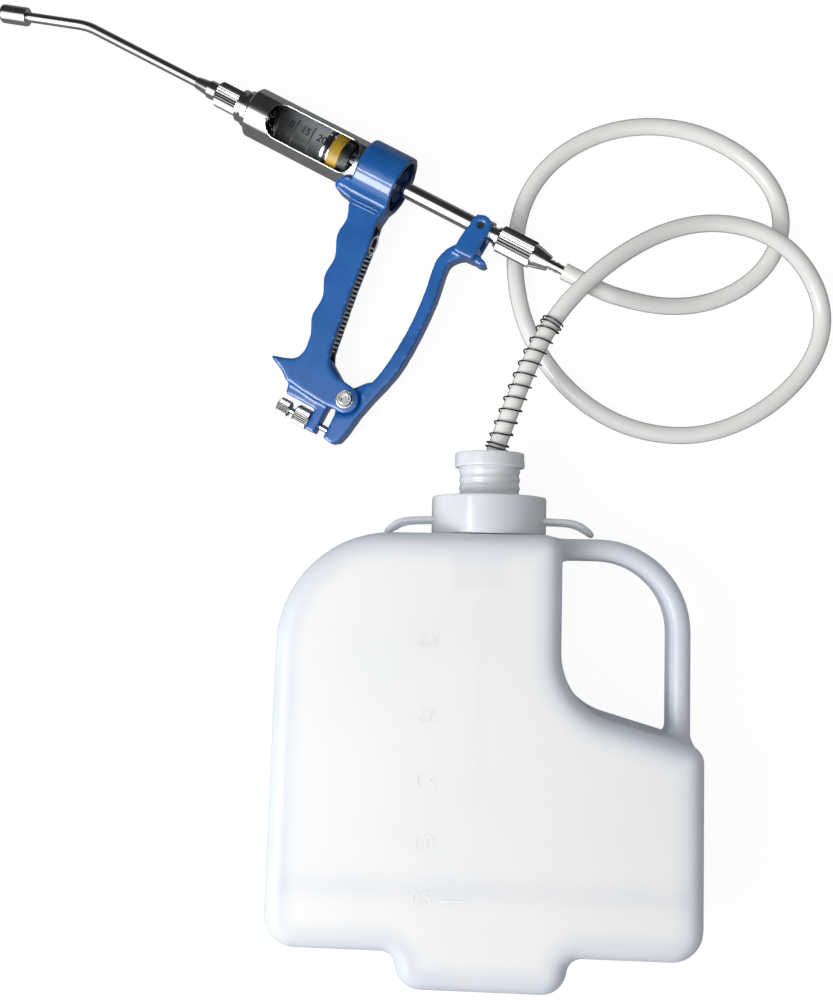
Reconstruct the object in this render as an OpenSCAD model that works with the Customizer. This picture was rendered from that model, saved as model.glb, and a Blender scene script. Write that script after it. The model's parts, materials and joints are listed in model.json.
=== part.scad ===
// Livestock drencher: a hand-squeezed dosing gun, its hose and its supply bottle.
// The bottle lies on its back and the gun on its side. The origin is the centre of the bottle's back.
// Gun pieces are drawn in the gun's own frame: X runs back along the barrel, Y away from the handle.

/* [Bottle] */
// Width of the bottle
bottle_w = 230; // [215:1:260]
// Height of the bottle's body, without its sump
bottle_h = 220; // [200:1:250]
// Thickness of the bottle from back to front
bottle_t = 78; // [70:1:90]
// Wall of the bottle
bottle_wall = 2; // [1.5:0.1:3]
// Rounding of the bottle's front and back edges
bottle_edge = 9; // [6:0.5:10]
// Radius of the large shoulder
shoulder_r = 62; // [45:1:70]
// Radius of the bottle's bottom corners
foot_r = 17; // [13:0.5:22]
// Width of the sump under the body
sump_w = 92; // [75:1:110]
// Depth of the sump
sump_d = 19; // [16:1:26]
// Width of the notch for the hand
notch_w = 75; // [68:1:82]
// Height of the notch for the hand
notch_h = 111; // [100:1:118]
// Fillet in the corner of the notch
notch_r = 36; // [26:1:42]
// Width of the side grip seen from the front
grip_w = 11.5; // [10:0.5:14]
// Thickness of the side grip from back to front
grip_t = 30; // [22:1:40]

/* [Neck and cap] */
// Outer diameter of the bottle's neck
neck_d = 48; // [46:0.5:52]
// Outer diameter of the neck collar
collar_d = 64; // [60:0.5:70]
// Height of the neck collar
collar_h = 21.5; // [19:0.5:26]
// Diameter of the threaded spigot
spigot_d = 34.4; // [32:0.2:37]
// Height of the threaded spigot under its flange
spigot_h = 16.5; // [14:0.5:22]
// Diameter of the spigot's flange
flange_d = 39.2; // [37:0.2:44]
// Height of the spigot's flange
flange_h = 8; // [6:0.5:12]
// Rod diameter of the strap loops
loop_rod_d = 3.4; // [2.6:0.2:4.4]
// How far a strap loop reaches out of the collar
loop_reach = 26; // [20:1:34]
// Outside width of a strap loop
loop_w = 25; // [20:1:32]

/* [Hose] */
// Outside diameter of the hose
hose_d = 10; // [9:0.5:11]
// Wire diameter of the kink guard spring
guard_wire = 1.2; // [1:0.1:1.4]
// Outside diameter of the kink guard spring
guard_d = 13.8; // [13.4:0.2:15]
// Open turns of the kink guard spring
guard_turns = 10; // [7:1:11]
// Outside diameter of the dip tube
dip_d = 8; // [7:0.5:10]

/* [Barrel] */
// Outside diameter of the barrel sleeve
sleeve_d = 30; // [28.5:0.1:32]
// Wall of the barrel sleeve
sleeve_wall = 1.2; // [0.9:0.1:1.4]
// Distance from the ring's middle to the sleeve's front
sleeve_reach = 88; // [84:1:92]
// Bore of the glass cylinder
bore_d = 24; // [22:0.1:24.6]
// Length of the windows in the sleeve
window_l = 60; // [50:1:62]
// Width of the windows across the barrel
window_w = 21; // [18:0.5:22]
// Turn of the windows about the barrel
window_turn = 1; // [0:1:30]
// Diameter of the piston rod
rod_d = 9.6; // [8.6:0.1:10]

/* [Spout] */
// Outside diameter of the spout tube
spout_d = 6; // [5:0.1:6.4]
// Distance from the ring's middle to the bend
spout_reach = 209.5; // [190:0.5:220]
// Angle of the bend in the spout
spout_bend = 17.5; // [10:0.5:20]
// Length of the spout after the bend
spout_end = 57; // [45:1:62]
// Diameter of the bulb on the spout's tip
tip_d = 11.2; // [9:0.1:11.4]
// Length of the bulb on the spout's tip
tip_l = 17.5; // [14:0.5:22]
// Diameter of the spout's union nut
spout_nut_d = 15.6; // [14.6:0.1:17]

/* [Handle] */
// Outside diameter of the handle's ring
ring_d = 37; // [34:0.5:39]
// Length of the handle's ring along the barrel
ring_l = 31; // [28:0.5:34]
// Drop of the lever's pivot below the barrel
pivot_drop = 126; // [122:0.5:130]
// Setback of the lever's pivot behind the ring's middle
pivot_back = 48; // [46:0.5:50]
// Width of the handle across its cheeks
handle_w = 18; // [17:0.2:20]
// Thickness of each cheek
cheek_t = 3; // [2.4:0.1:3.2]
// Spacing of the finger grooves
finger_pitch = 24.2; // [22:0.2:26]
// Depth of the finger grooves
finger_depth = 2.8; // [1.5:0.1:3.5]
// Diameter of the pivot pin
pivot_d = 5; // [4:0.1:5.6]
// Width of the lever's bar
lever_w = 14; // [13.6:0.1:16]
// Setback of the trunnions behind the ring's middle
trunnion_back = 69.5; // [68:0.5:71]
// Diameter of the trunnions
trunnion_d = 4; // [3.4:0.1:4.4]
// Wire diameter of the return spring
return_wire = 0.9; // [0.7:0.1:1]
// Outside diameter of the return spring
return_d = 5.2; // [4.6:0.1:5.6]
// Turns of the return spring
return_turns = 25; // [20:1:27]
// Diameter of the dose screw
dose_d = 3.8; // [3.2:0.1:4.2]
// Diameter of the dose screw's knob
dose_knob_d = 9.6; // [8:0.1:10.4]
// Diameter of the dose screw's lock nut
lock_nut_d = 12; // [10:0.1:12.6]

/* [Inlet] */
// Distance from the ring's middle to the inlet nut's front
inlet_back = 81; // [80:0.5:84]
// Diameter of the inlet nut
inlet_nut_d = 16; // [15:0.1:17]
// Length of the inlet nut
inlet_nut_l = 22.9; // [21:0.1:26]
// Length of the cone behind the inlet nut
cone_l = 8.5; // [7:0.5:12]
// Length of the barbed tail
tail_l = 19; // [16:0.5:24]

/* [Hidden] */
$fn = 48;

blue = "#1f6cb8";
chrome = "#c9cdd2";
steel = "#6d7278";
milky = "#eef1f3";

// Clearances
cut = 1; // overrun of every cut
seat_gap = 0.3; // between pieces of different bodies that face each other
run_fit = 0.06; // radial clearance of turning and sliding fits
snug = 0.02; // radial clearance of fixed fits

// Gun's place on the floor
gun_at = [-68.3, 323.6];
gun_heading = -28.1;
gun_nose = 2.65;
gun_roll = 4.13;
ring_r = ring_d / 2;
ring_half = ring_l / 2;
ring_front = 0.68 * ring_half;
toe_r = 4;
toe_reach = 7;
toe_step = 0.3;
toe_drop = 1;
gun_z = ring_r * cos(gun_nose) + ring_half * sin(gun_nose) + cut / 10;
gun_origin = [gun_at[0], gun_at[1], gun_z];

// Bottle
bottle_top = bottle_h / 2;
bottle_mid = bottle_t / 2;
taper_share = 0.013;
corner_r = bottle_edge + bottle_wall / 4;
wall_x = bottle_w / 2 - notch_w;
ledge_y = bottle_top - notch_h;
ledge_rise = 0.285 * notch_w;
sump_in_r = 0.45 * foot_r;
sump_out_r = 0.8 * foot_r;
corner_steps = 7;
edge_steps = 4;
grip_edge = 0.4 * grip_w;
grip_end_r = 0.46 * grip_w;
grip_inset = 0.8;
grip_setin = 4.3;
grip_bow_r = 0.45 * notch_h;

// Neck and cap
neck_r = neck_d / 2;
neck_wall = 3;
neck_h = 16;
neck_root = 3 * bottle_wall;
collar_r = collar_d / 2;
collar_y = bottle_top + seat_gap;
collar_top = collar_y + collar_h;
collar_lid = 3.2;
gasket_t = collar_h - collar_lid - neck_h + seat_gap;
spigot_r = spigot_d / 2;
spigot_wall = 4.2;
spigot_skirt = 8;
spigot_y = collar_top + seat_gap;
spigot_ridges = 3;
spigot_ridge = 0.7;
flange_y = spigot_y + spigot_h;
flange_r = flange_d / 2;
notch_cut = 3;
gland_r = spigot_r - spigot_wall - run_fit;
gland_top = flange_y + flange_h - seat_gap;
gland_l = spigot_h + flange_h;
gland_socket = 6;
dip_r = dip_d / 2;
dip_wall = 1.4;
dip_top = gland_top - gland_l + gland_socket;
sump_floor = -bottle_top - sump_d + bottle_wall;
strainer_r = 2.2 * dip_r;
strainer_h = 14;
strainer_wall = 1.5;
strainer_y = sump_floor + seat_gap;
strainer_slots = 8;
strainer_slot_w = 2;
loop_r = loop_rod_d / 2;
loop_half = loop_w / 2 - loop_r;
loop_y = collar_y + 0.36 * collar_h;
loop_droop = 3;
loop_lean = 20;
loop_socket = 2;

// Hose route: from the gland over the barb's hose, two wide turns on the floor, back to the barb
hose_r = hose_d / 2;
hose_points = [
  [6, 168, 40], [10, 178, 41], [14, 189, 41], [18, 200, 41], [23, 212, 41], [28, 223, 41], [34, 233, 41],
  [41, 243, 40], [50, 253, 38], [61, 264, 36], [76, 276, 31], [93, 287, 26], [111, 294, 22], [127, 297, 19],
  [143, 296, 17], [158, 291, 17], [172, 282, 16], [183, 270, 12], [191, 257, 8], [194, 243, 6], [192, 229, 5],
  [186, 216, 5], [175, 202, 5], [161, 190, 5], [144, 180, 5], [127, 174, 5], [110, 172, 5], [92, 174, 5],
  [75, 179, 5], [60, 187, 5], [46, 198, 5], [35, 210, 5], [25, 225, 5], [18, 240, 5], [14, 256, 5],
  [12, 273, 5], [12, 289, 5], [14, 305, 5], [20, 321, 5], [31, 336, 5], [45, 347, 5], [61, 355, 5],
  [77, 359, 5], [94, 360, 5], [110, 358, 5], [126, 353, 5], [141, 345, 5], [153, 336, 5], [163, 325, 5],
  [169, 313, 5], [171, 301, 5], [169, 288, 5], [164, 278, 5], [157, 269, 5], [148, 261, 5], [137, 255, 5],
  [122, 250, 6], [107, 248, 9], [92, 248, 14], [77, 250, 21]];
hose_sides = 10;
hose_steps = 1;
hose_offset = 3;

// Barrel, along the gun's X
sleeve_r = sleeve_d / 2;
sleeve_bore = sleeve_r - sleeve_wall;
sleeve_front = -sleeve_reach;
sleeve_lip = 2;
sleeve_rear = 3;
bore_r = bore_d / 2;
glass_r = sleeve_bore - 3 * run_fit;
seal_t = 2;
gland_plug = 7;
gland_flange = 6;
gland_boss_r = 0.67 * sleeve_r;
gland_sunk = 1.5;
glass_front = sleeve_front + sleeve_lip + seal_t + snug;
glass_rear = sleeve_rear - gland_plug - seal_t;
window_inset = 14.5;
window_front = sleeve_front + window_inset;
window_r = 8;
rod_r = rod_d / 2;
rod_bore = 2.5;

// Piston, at the rear of its stroke
piston_front = -36;
piston_r = bore_r - run_fit;
piston_core = 9;
piston_rear = -18.2;
piston_lip = 1.6;
oring_at = piston_front + piston_lip;
oring_w = 2.2;
band_inset = 4.6;
band_at = piston_front + band_inset;
band_w = 7;
cup_inset = 12;
cup_at = piston_front + cup_inset;
piston_socket = 6;
piston_port = 2;

// Outlet
adapter_bore = 9;
adapter_flange_r = 11;
adapter_ring_r = 9.8;
adapter_groove_r = 8.2;
adapter_flange_t = 4;
adapter_ring_t = 2.4;
adapter_groove_t = 2.4;
adapter_front = sleeve_front - adapter_flange_t - adapter_groove_t - adapter_ring_t;
stub_r = 5.6;
stub_l = 13;
valve_r = 4.2;
valve_inset = 3;
valve_seat = sleeve_front - valve_inset;
valve_l = 13.5;
valve_port = 2;
ball_r = 2.9;
ball_sit = sqrt(ball_r * ball_r - valve_port * valve_port) + run_fit;
valve_wire = 0.6;
valve_coil = 2.4;
valve_turns = 5;
outlet_ball_x = valve_seat - ball_sit;
outlet_spring_x0 = valve_seat - valve_l;

// Spout
spout_r = spout_d / 2;
spout_bore = 2;
spout_bend_r = 40;
spout_nut_r = spout_nut_d / 2;
spout_nut_rear = adapter_front - seat_gap;
spout_nut_wall = 1.2;
stub_end = adapter_front - stub_l;
ferrule_flange_r = stub_r - run_fit;
ferrule_flange_t = 1.7;
ferrule_neck_r = 4.7;
ferrule_step_r = 5.4;
ferrule_step_l = 6;
ferrule_cone_l = 9;
ferrule_cone_r = 3.5;
ferrule_rear = stub_end - seat_gap;
spout_nut_inner = ferrule_rear - ferrule_flange_t - seat_gap;
spout_nut_front = spout_nut_inner - spout_nut_wall;
spout_rear = ferrule_rear;
spout_tangent = spout_bend_r * tan(spout_bend / 2);
spout_lap = 0.8;
tip_bore = 2.2;
knurl_teeth = 30;
knurl_depth = 0.5;

// Handle, in shares of the pivot's drop
handle_half = handle_w / 2;
pocket_half = handle_half - cheek_t;
handle_root_shares = [[-0.125, -0.06], [-0.155, -0.09], [-0.157, -0.138], [-0.145, -0.152], [-0.09, -0.163],
  [-0.048, -0.175]];
handle_hook_shares = [[0.092, -0.83], [0.098, -0.888], [0.083, -0.933], [0.042, -0.959], [-0.028, -0.981]];
handle_sole_shares = [[-0.022, -0.992], [0.051, -1.025], [0.089, -1.054], [0.26, -1.068], [0.315, -1.066]];
handle_spine_shares = [[0.301, -0.925], [0.262, -0.908], [0.235, -0.884], [0.211, -0.84], [0.161, -0.54],
  [0.137, -0.34], [0.111, -0.2], [0.125, -0.06]];
pocket_shares = [[0.055, -0.222], [0.143, -0.82], [0.152, -0.99], [0.286, -1.036], [0.3, -1.12],
  [0.54, -1.12], [0.54, -0.84], [0.27, -0.84], [0.16, -0.222]];
finger_start_share = -0.19;
finger_end_share = -0.815;
finger_lean_share = 0.206;
finger_x_share = -0.05;
finger_steps = 20;
finger_crest = 19.5;
boss_r = 8.3;
pivot_r = pivot_d / 2;
pivot = [pivot_back, -pivot_drop];
pivot_head_r = 4.2;
pivot_head_t = 2.4;
pivot_nut_t = 2.8;
pivot_socket_d = 4;
pocket_play = 0.5;
foot_half = pocket_half - pocket_play;
foot_l = 36;
foot_x0 = pivot_back - foot_l;
lug_back = 7.6;
lug_x1 = pivot_back - lug_back;
lug_t = 6.4;
foot_top = 6;
foot_bottom = 13.4;
lug_bottom = 26.4;
dose_drop = 21;
dose_y = -pivot_drop - dose_drop;
dose_r = dose_d / 2;

// Lever, in shares of the pivot's drop
lever_half = lever_w / 2;
root_half = pocket_half - pocket_play;
root_r = 8;
ear_flare = 1;
ear_half = handle_half + ear_flare;
ear_t = 3;
ear_r = 6.3;
ear_back = trunnion_back;
fork_floor_share = -0.092;
lever_inner_shares = [[0.43, -0.885], [0.4505, -0.87], [0.468, -0.79], [0.478, -0.68], [0.48, -0.54],
  [0.466, -0.39], [0.447, -0.285], [0.442, -0.225], [0.459, -0.165], [0.493, -0.115]];
lever_outer_shares = [[0.58, -0.1], [0.606, -0.121], [0.65, -0.137], [0.655, -0.15], [0.63, -0.164],
  [0.565, -0.158], [0.525, -0.185], [0.502, -0.225], [0.508, -0.285], [0.529, -0.4], [0.541, -0.57],
  [0.538, -0.75], [0.514, -0.87]];
ear_shares = [[0.492, -0.16], [0.595, -0.16], [0.598, -0.05], [0.598, 0], [0.503, 0], [0.492, -0.09]];
lever_root_shares = [[0.33, -1], [0.43, -0.881], [0.472, -0.857], [0.476, -0.952], [0.464, -1.063],
  [0.397, -1.111], [0.37, -1.095]];
lever_tail_shares = [[0.491, -0.952], [0.471, -1.04], [0.459, -1.135], [0.447, -1.189], [0.417, -1.213],
  [0.372, -1.205], [0.3675, -1.091]];
lever_clear = 1;
curve_steps = 4;
arm_reach = [-21.7, 13.5];
arm_r = 3.5;
trunnion_r = trunnion_d / 2;
trunnion_sunk = 1.2;
collar_play = 0.4;
collar_grip_r = ear_half - ear_t - collar_play;
collar_grip_l = 12;
slot_depth = 1.5;
slot_up = 2.2;
slot_down = 1.1;

// Return spring
anchor_r = 1.5;
anchor_at = [14.2, -32.5];
anchor_in = 2;
anchor_end = 2.1;
arm_tip = pivot + arm_reach;
spring_leg = 4;
return_r = (return_d - return_wire) / 2;
return_low = arm_tip + (arm_r + snug) * unit(anchor_at - arm_tip);
return_high = anchor_at - (anchor_r + snug) * unit(anchor_at - arm_tip);
coil_sides = 6;
coil_rings = 8;

// Dose screw
dose_knob_l = 8;
dose_knob_x = pivot_back - foot_l;
dose_lock_l = 10;
dose_out = 5.5;
dose_end = lug_x1 + dose_out;

// Inlet
inlet_nut_r = inlet_nut_d / 2;
rod_thread_r = 6;
rod_thread_l = 9.5;
rod_end = inlet_back + rod_thread_l;
inlet_seat_t = 1.6;
barb_flange_l = 6;
barb_front = rod_end + seat_gap / 3;
inlet_nut_end = inlet_back + inlet_nut_l;
inlet_shoulder = barb_front + barb_flange_l + seat_gap;
barb_neck_r = 4.2;
cone_start = inlet_nut_end + seat_gap;
cone_r = 6.8;
cone_end_r = 4.6;
cone_rim = 1.2;
tail_start = cone_start + cone_rim + cone_l;
tail_end = tail_start + tail_l;
tail_r = 2.7;
barb_r = 3.15;
barb_step = 3.2;
barb_rings = 2;
inlet_valve_l = 11.5;
inlet_ball_x = barb_front - ball_sit;
inlet_spring_x0 = rod_end - inlet_valve_l;
inlet_valve_r = 3.9;

// Vectors and curves
function xy(p) = [p[0], p[1]];
function unit(v) = v / norm(v);
function right_of(a) = [a[1], -a[0]];
function spread(v, s) = [for (p = v) p * s];
function reversed(v) = [for (i = [len(v) - 1 : -1 : 0]) v[i]];
function bow(a, b, c, d, t) = 0.5 * (2 * b + (c - a) * t + (2 * a - 5 * b + 4 * c - d) * t * t
  + (3 * b - a - 3 * c + d) * t * t * t);
function on_curve(p, u) =
  let (n = len(p) - 1, i = min(floor(u), n - 1), t = u - i)
  bow(p[max(i - 1, 0)], p[i], p[i + 1], p[min(i + 2, n)], t);
function curve(p, steps) = [for (k = [0 : (len(p) - 1) * steps]) on_curve(p, k / steps)];
function arc(c, r, a0, a1, n) = [
  for (k = [0 : n]) let (a = a0 + (a1 - a0) * k / n) c + r * [cos(a), sin(a)]];

// Outline with a radius at each corner [x, y, r], counter-clockwise, moved inward by d
function rounded(c, d) = [
  for (i = [0 : len(c) - 1])
    let (p = xy(c[i]), r = c[i][2], m = len(c),
      a = unit(p - xy(c[(i + m - 1) % m])), b = unit(xy(c[(i + 1) % m]) - p),
      turn = atan2(a[0] * b[1] - a[1] * b[0], a * b), s = sign(turn),
      u = right_of(a), w = right_of(b), centre = p - s * r * (u + w) / (1 + u * w), start = atan2(u[1], u[0]))
      for (k = [0 : corner_steps])
        let (g = start + turn * k / corner_steps) centre + (s * r - d) * [cos(g), sin(g)]];

// Slab of that outline from z0 to z1, with edges rounded by e in a number of steps.
// Its caps are fans about eye, a point that sees the whole outline,
// or else strips between the outline's two halves.
module slab(c, inset, z0, z1, e, steps, eye) {
  levels = [for (k = [0 : steps]) [1 - sin(90 * k / steps), 1 - cos(90 * k / steps)]];
  rings = concat(
    [for (v = levels) [inset + e * v[0], z0 + e * v[1]]],
    [for (v = reversed(levels)) [inset + e * v[0], z1 - e * v[1]]]);
  n = len(c) * (corner_steps + 1);
  rim = [for (g = rings) for (p = rounded(c, g[0])) [p[0], p[1], g[1]]];
  eyes = eye == undef ? [] : [[eye[0], eye[1], z0], [eye[0], eye[1], z1]];
  sides = [for (j = [0 : len(rings) - 2]) for (i = [0 : n - 1])
    let (k = (i + 1) % n, q = j * n) each [[q + i, q + n + i, q + n + k], [q + i, q + n + k, q + k]]];
  top = (len(rings) - 1) * n;
  m = len(rim);
  fans = [for (i = [0 : n - 1]) let (k = (i + 1) % n) each [[m, i, k], [m + 1, top + k, top + i]]];
  strips = [for (i = [0 : n / 2 - 2]) let (k = n - 1 - i)
    each [[i, i + 1, k - 1, k], [top + k, top + k - 1, top + i + 1, top + i]]];
  polyhedron(concat(rim, eyes), concat(sides, eye == undef ? strips : fans));
}

// Closed tube of a given radius along a path; the first ring's side is carried along without twist
function heading(p, i) = unit(p[min(i + 1, len(p) - 1)] - p[max(i - 1, 0)]);
function squared(u, t) = unit(u - (u * t) * t);
function carried(p, side) = [
  for (i = 0, u = squared(side, heading(p, 0)); i < len(p);
    i = i + 1, u = squared(u, heading(p, min(i, len(p) - 1)))) u];
module sweep(path, side, r, sides) {
  n = len(path);
  across = carried(path, side);
  points = [for (i = [0 : n - 1])
    let (u = across[i], v = cross(heading(path, i), u))
      for (k = [0 : sides - 1]) path[i] + r * (cos(360 * k / sides) * u + sin(360 * k / sides) * v)];
  walls = [for (j = [0 : n - 2]) for (i = [0 : sides - 1])
    let (k = (i + 1) % sides, q = j * sides)
      each [[q + i, q + sides + i, q + sides + k], [q + i, q + sides + k, q + k]]];
  last = (n - 1) * sides;
  foot = [for (i = [0 : sides - 1]) i];
  head = [for (i = [sides - 1 : -1 : 0]) last + i];
  polyhedron(points, concat([foot], walls, [head]));
}

// Coil between two points: straight legs on the axis, turns of radius r between them
function coil(a, b, side, r, turns, leg) =
  let (t = unit(b - a), u = unit(side - (side * t) * t), v = cross(t, u), l = norm(b - a) - 2 * leg,
    n = turns * coil_rings)
  concat(
    [a, a + leg / 2 * t],
    [for (k = [0 : n])
      let (g = 360 * k / coil_rings, s = min(1, 2 * k / coil_rings, 2 * (n - k) / coil_rings))
      a + (leg + l * k / n) * t + s * r * (cos(g) * u + sin(g) * v)],
    [b - leg / 2 * t, b]);
function least_gap(p, wire) = min([
  for (i = [0 : len(p) - 1]) for (j = [i + coil_rings - 2 : 1 : len(p) - 1]) norm(p[i] - p[j])]) - wire;
module coil_tube(p, side, wire) {
  sweep(p, side, wire / 2, coil_sides);
}

// Turned shape about the gun's X from [x, radius] points
module turned(p) {
  rotate([0, 90, 0]) rotate_extrude() polygon([for (q = p) [q[1], q[0]]]);
}
module bar(x0, x1, r) {
  translate([x0, 0, 0]) rotate([0, 90, 0]) cylinder(h = x1 - x0, r = r);
}
// Turned shape about the bottle's Y, standing on y0
module upright(y0) {
  translate([0, y0, bottle_mid]) rotate([-90, 0, 0]) children();
}
module gun() {
  translate(gun_origin) rotate([0, 0, gun_heading]) rotate([0, -gun_nose, 0])
    rotate([gun_roll, 0, 0]) children();
}
// Plate in the gun's side view, half thick on each side of its middle plane
module plate(half) {
  translate([0, 0, -half]) linear_extrude(height = 2 * half) children();
}
module knurl(r, depth, teeth) {
  polygon([for (k = [0 : 2 * teeth - 1])
    let (g = 180 * k / teeth) (r - depth * (k % 2)) * [cos(g), sin(g)]]);
}
// Knurled sleeve along the gun's X, with plain chamfered rims
module knurled_bar(x0, x1, r, rim) {
  core = r - 1.3 * knurl_depth;
  lap = 0.75 * rim;
  translate([x0 + lap, 0, 0]) rotate([0, 90, 0])
    linear_extrude(height = x1 - x0 - 2 * lap) knurl(r, knurl_depth, knurl_teeth);
  turned([[x0, 0], [x0, r - rim], [x0 + rim, core], [x1 - rim, core], [x1, r - rim], [x1, 0]]);
}

// Bottle, neck and cap
body_corners = [
  [-bottle_w / 2, -bottle_top, foot_r],
  [-sump_w / 2, -bottle_top, sump_in_r],
  [-sump_w / 2 + sump_d / 6, -bottle_top - sump_d, sump_out_r],
  [sump_w / 2 - sump_d / 6, -bottle_top - sump_d, sump_out_r],
  [sump_w / 2, -bottle_top, sump_in_r],
  [bottle_w / 2, -bottle_top, foot_r],
  [bottle_w / 2, ledge_y, corner_r],
  [wall_x, ledge_y + ledge_rise, notch_r],
  [wall_x, bottle_top, corner_r],
  [-bottle_w / 2 + taper_share * bottle_w, bottle_top, shoulder_r]];
body_eye = [0, -bottle_top / 2];
grip_x1 = bottle_w / 2 - grip_setin;
grip_y1 = bottle_top - grip_inset;
grip_low = ledge_y - bottle_edge;
grip_x0 = wall_x - bottle_edge;
grip_corners = [
  [grip_x1, grip_low, grip_end_r],
  [grip_x1, grip_y1, grip_bow_r],
  [grip_x0, grip_y1, grip_end_r],
  [grip_x0, grip_y1 - grip_w, grip_end_r],
  [grip_x1 - grip_w, grip_y1 - grip_w, grip_bow_r - grip_w],
  [grip_x1 - grip_w, grip_low, grip_end_r]];

// Inside of the body's skin at a given depth
module hollow(depth) {
  slab(body_corners, depth, depth, bottle_t - depth, bottle_edge - depth, 2, body_eye);
}
module bottle() {
  color(milky) difference() {
    union() {
      slab(body_corners, 0, 0, bottle_t, bottle_edge, edge_steps, body_eye);
      difference() {
        slab(grip_corners, 0, bottle_mid - grip_t / 2, bottle_mid + grip_t / 2, grip_edge, edge_steps, undef);
        hollow(bottle_wall / 2);
      }
      upright(bottle_top - neck_root) cylinder(h = neck_root + neck_h, r = neck_r);
    }
    hollow(bottle_wall);
    upright(bottle_top - 2 * neck_root) cylinder(h = 2 * neck_root + neck_h + cut, r = neck_r - neck_wall);
  }
}
module neck_collar() {
  color(milky) difference() {
    upright(collar_y) cylinder(h = collar_h, r = collar_r);
    upright(collar_y - cut) cylinder(h = collar_h - collar_lid + cut, r = neck_r + run_fit);
    upright(collar_y) cylinder(h = collar_h + cut, r = spigot_r - spigot_ridge + run_fit);
    for (s = [-1, 1]) loop_rods(s, loop_r + snug);
  }
}
module neck_gasket() {
  color("#8d8f90") difference() {
    upright(collar_top - collar_lid - gasket_t) cylinder(h = gasket_t, r = neck_r);
    upright(collar_top - collar_lid - gasket_t - cut) cylinder(h = gasket_t + 2 * cut, r = spigot_r);
  }
}
loop_root = sqrt(collar_r * collar_r - loop_half * loop_half) - loop_socket;
loop_run = collar_r + loop_reach - loop_r - loop_half - loop_root;
module loop_place(s) {
  mirror([s < 0 ? 1 : 0, 0, 0]) translate([loop_root, loop_y, bottle_mid])
    rotate([-loop_lean, 0, -loop_droop]) children();
}
module loop_rods(s, r) {
  loop_place(s) for (z = [-loop_half, loop_half])
    translate([0, 0, z]) rotate([0, 90, 0]) cylinder(h = loop_run, r = r);
}
module strap_loops() {
  color(milky) for (s = [-1, 1]) {
    loop_rods(s, loop_r);
    loop_place(s) translate([loop_run, 0, 0]) rotate([90, 0, 0]) rotate([0, 0, -90])
      rotate_extrude(angle = 180) translate([loop_half, 0]) circle(r = loop_r);
  }
}
module fill_spigot() {
  skirt_r = spigot_r - spigot_ridge;
  ridge_step = spigot_h / (spigot_ridges + 0.5);
  color(milky) difference() {
    union() {
      upright(collar_top - spigot_skirt)
        cylinder(h = spigot_skirt + spigot_h + seat_gap, r = skirt_r);
      upright(spigot_y) cylinder(h = ridge_step / 3, r = spigot_r);
      for (k = [0 : spigot_ridges - 1]) upright(spigot_y + ridge_step * (k + 0.75)) rotate_extrude()
        polygon([[0, 0], [skirt_r, 0], [spigot_r, ridge_step * 0.2], [spigot_r, ridge_step * 0.4],
          [skirt_r, ridge_step * 0.6], [0, ridge_step * 0.6]]);
      upright(flange_y) cylinder(h = flange_h, r = flange_r);
    }
    upright(collar_top - spigot_skirt - cut)
      cylinder(h = spigot_skirt + spigot_h + flange_h + 2 * cut, r = spigot_r - spigot_wall);
    translate([flange_r - notch_cut / 2, flange_y + flange_h / 2, bottle_mid - notch_cut])
      cube([notch_cut, flange_h, 2 * notch_cut]);
  }
}
module hose_gland() {
  color(milky) difference() {
    upright(gland_top - gland_l) cylinder(h = gland_l, r = gland_r);
    upright(gland_top - gland_l - cut) cylinder(h = gland_socket + cut, r = dip_r + snug);
  }
}
module dip_tube() {
  color("#dfe3e2") difference() {
    upright(strainer_y + strainer_wall) cylinder(h = dip_top - strainer_y - strainer_wall, r = dip_r);
    upright(strainer_y) cylinder(h = dip_top - strainer_y + cut, r = dip_r - dip_wall);
  }
}
module strainer() {
  color("#d8dcdc") difference() {
    upright(strainer_y) cylinder(h = strainer_h, r = strainer_r);
    upright(strainer_y + strainer_wall)
      cylinder(h = strainer_h - 2 * strainer_wall, r = strainer_r - strainer_wall);
    upright(strainer_y + strainer_wall) cylinder(h = strainer_h, r = dip_r + snug);
    for (k = [0 : strainer_slots - 1]) upright(strainer_y) rotate([0, 0, 360 * k / strainer_slots])
      translate([dip_r + strainer_wall, -strainer_slot_w / 2, 2 * strainer_wall])
        cube([strainer_r, strainer_slot_w, strainer_h - 4 * strainer_wall]);
  }
}

// Hose and its kink guard
gun_axis = [cos(gun_nose) * cos(gun_heading), cos(gun_nose) * sin(gun_heading), sin(gun_nose)];
hose_start = [hose_offset, gland_top, bottle_mid];
hose_finish = gun_origin + tail_end * gun_axis;
hose_lead = 1.6 * hose_d;
hose_rise = 0.2 * hose_d;
hose_up = [0, hose_rise, 0];
hose_ends = [hose_finish + hose_lead * gun_axis, hose_finish];
hose_route = concat([hose_start, hose_start + hose_up], hose_points, hose_ends);
hose_path = curve(hose_route, hose_steps);
hose_length = [for (i = [1 : len(hose_path) - 1]) norm(hose_path[i] - hose_path[i - 1])];
floor_up = [0, 0, 1];
module hose() {
  color("#dcdcd2") sweep(hose_path, floor_up, hose_r, hose_sides);
}
guard_r = (guard_d - guard_wire) / 2;
guard_closed = 2;
guard_span = 6.9; // number of route points that the guard covers
guard_start = 1.2;
guard_pitch_share = 0.028; // rise of one closed turn against the guard's span
guard_all = guard_turns + 2 * guard_closed;
function guard_u(k) =
  let (t = k / coil_rings, c = guard_closed, n = guard_all, e = guard_pitch_share,
    open = (1 - 2 * c * e) / (n - 2 * c))
  t < c ? t * e : t > n - c ? 1 - (n - t) * e : c * e + (t - c) * open;
guard_near = 0.1;
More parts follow.
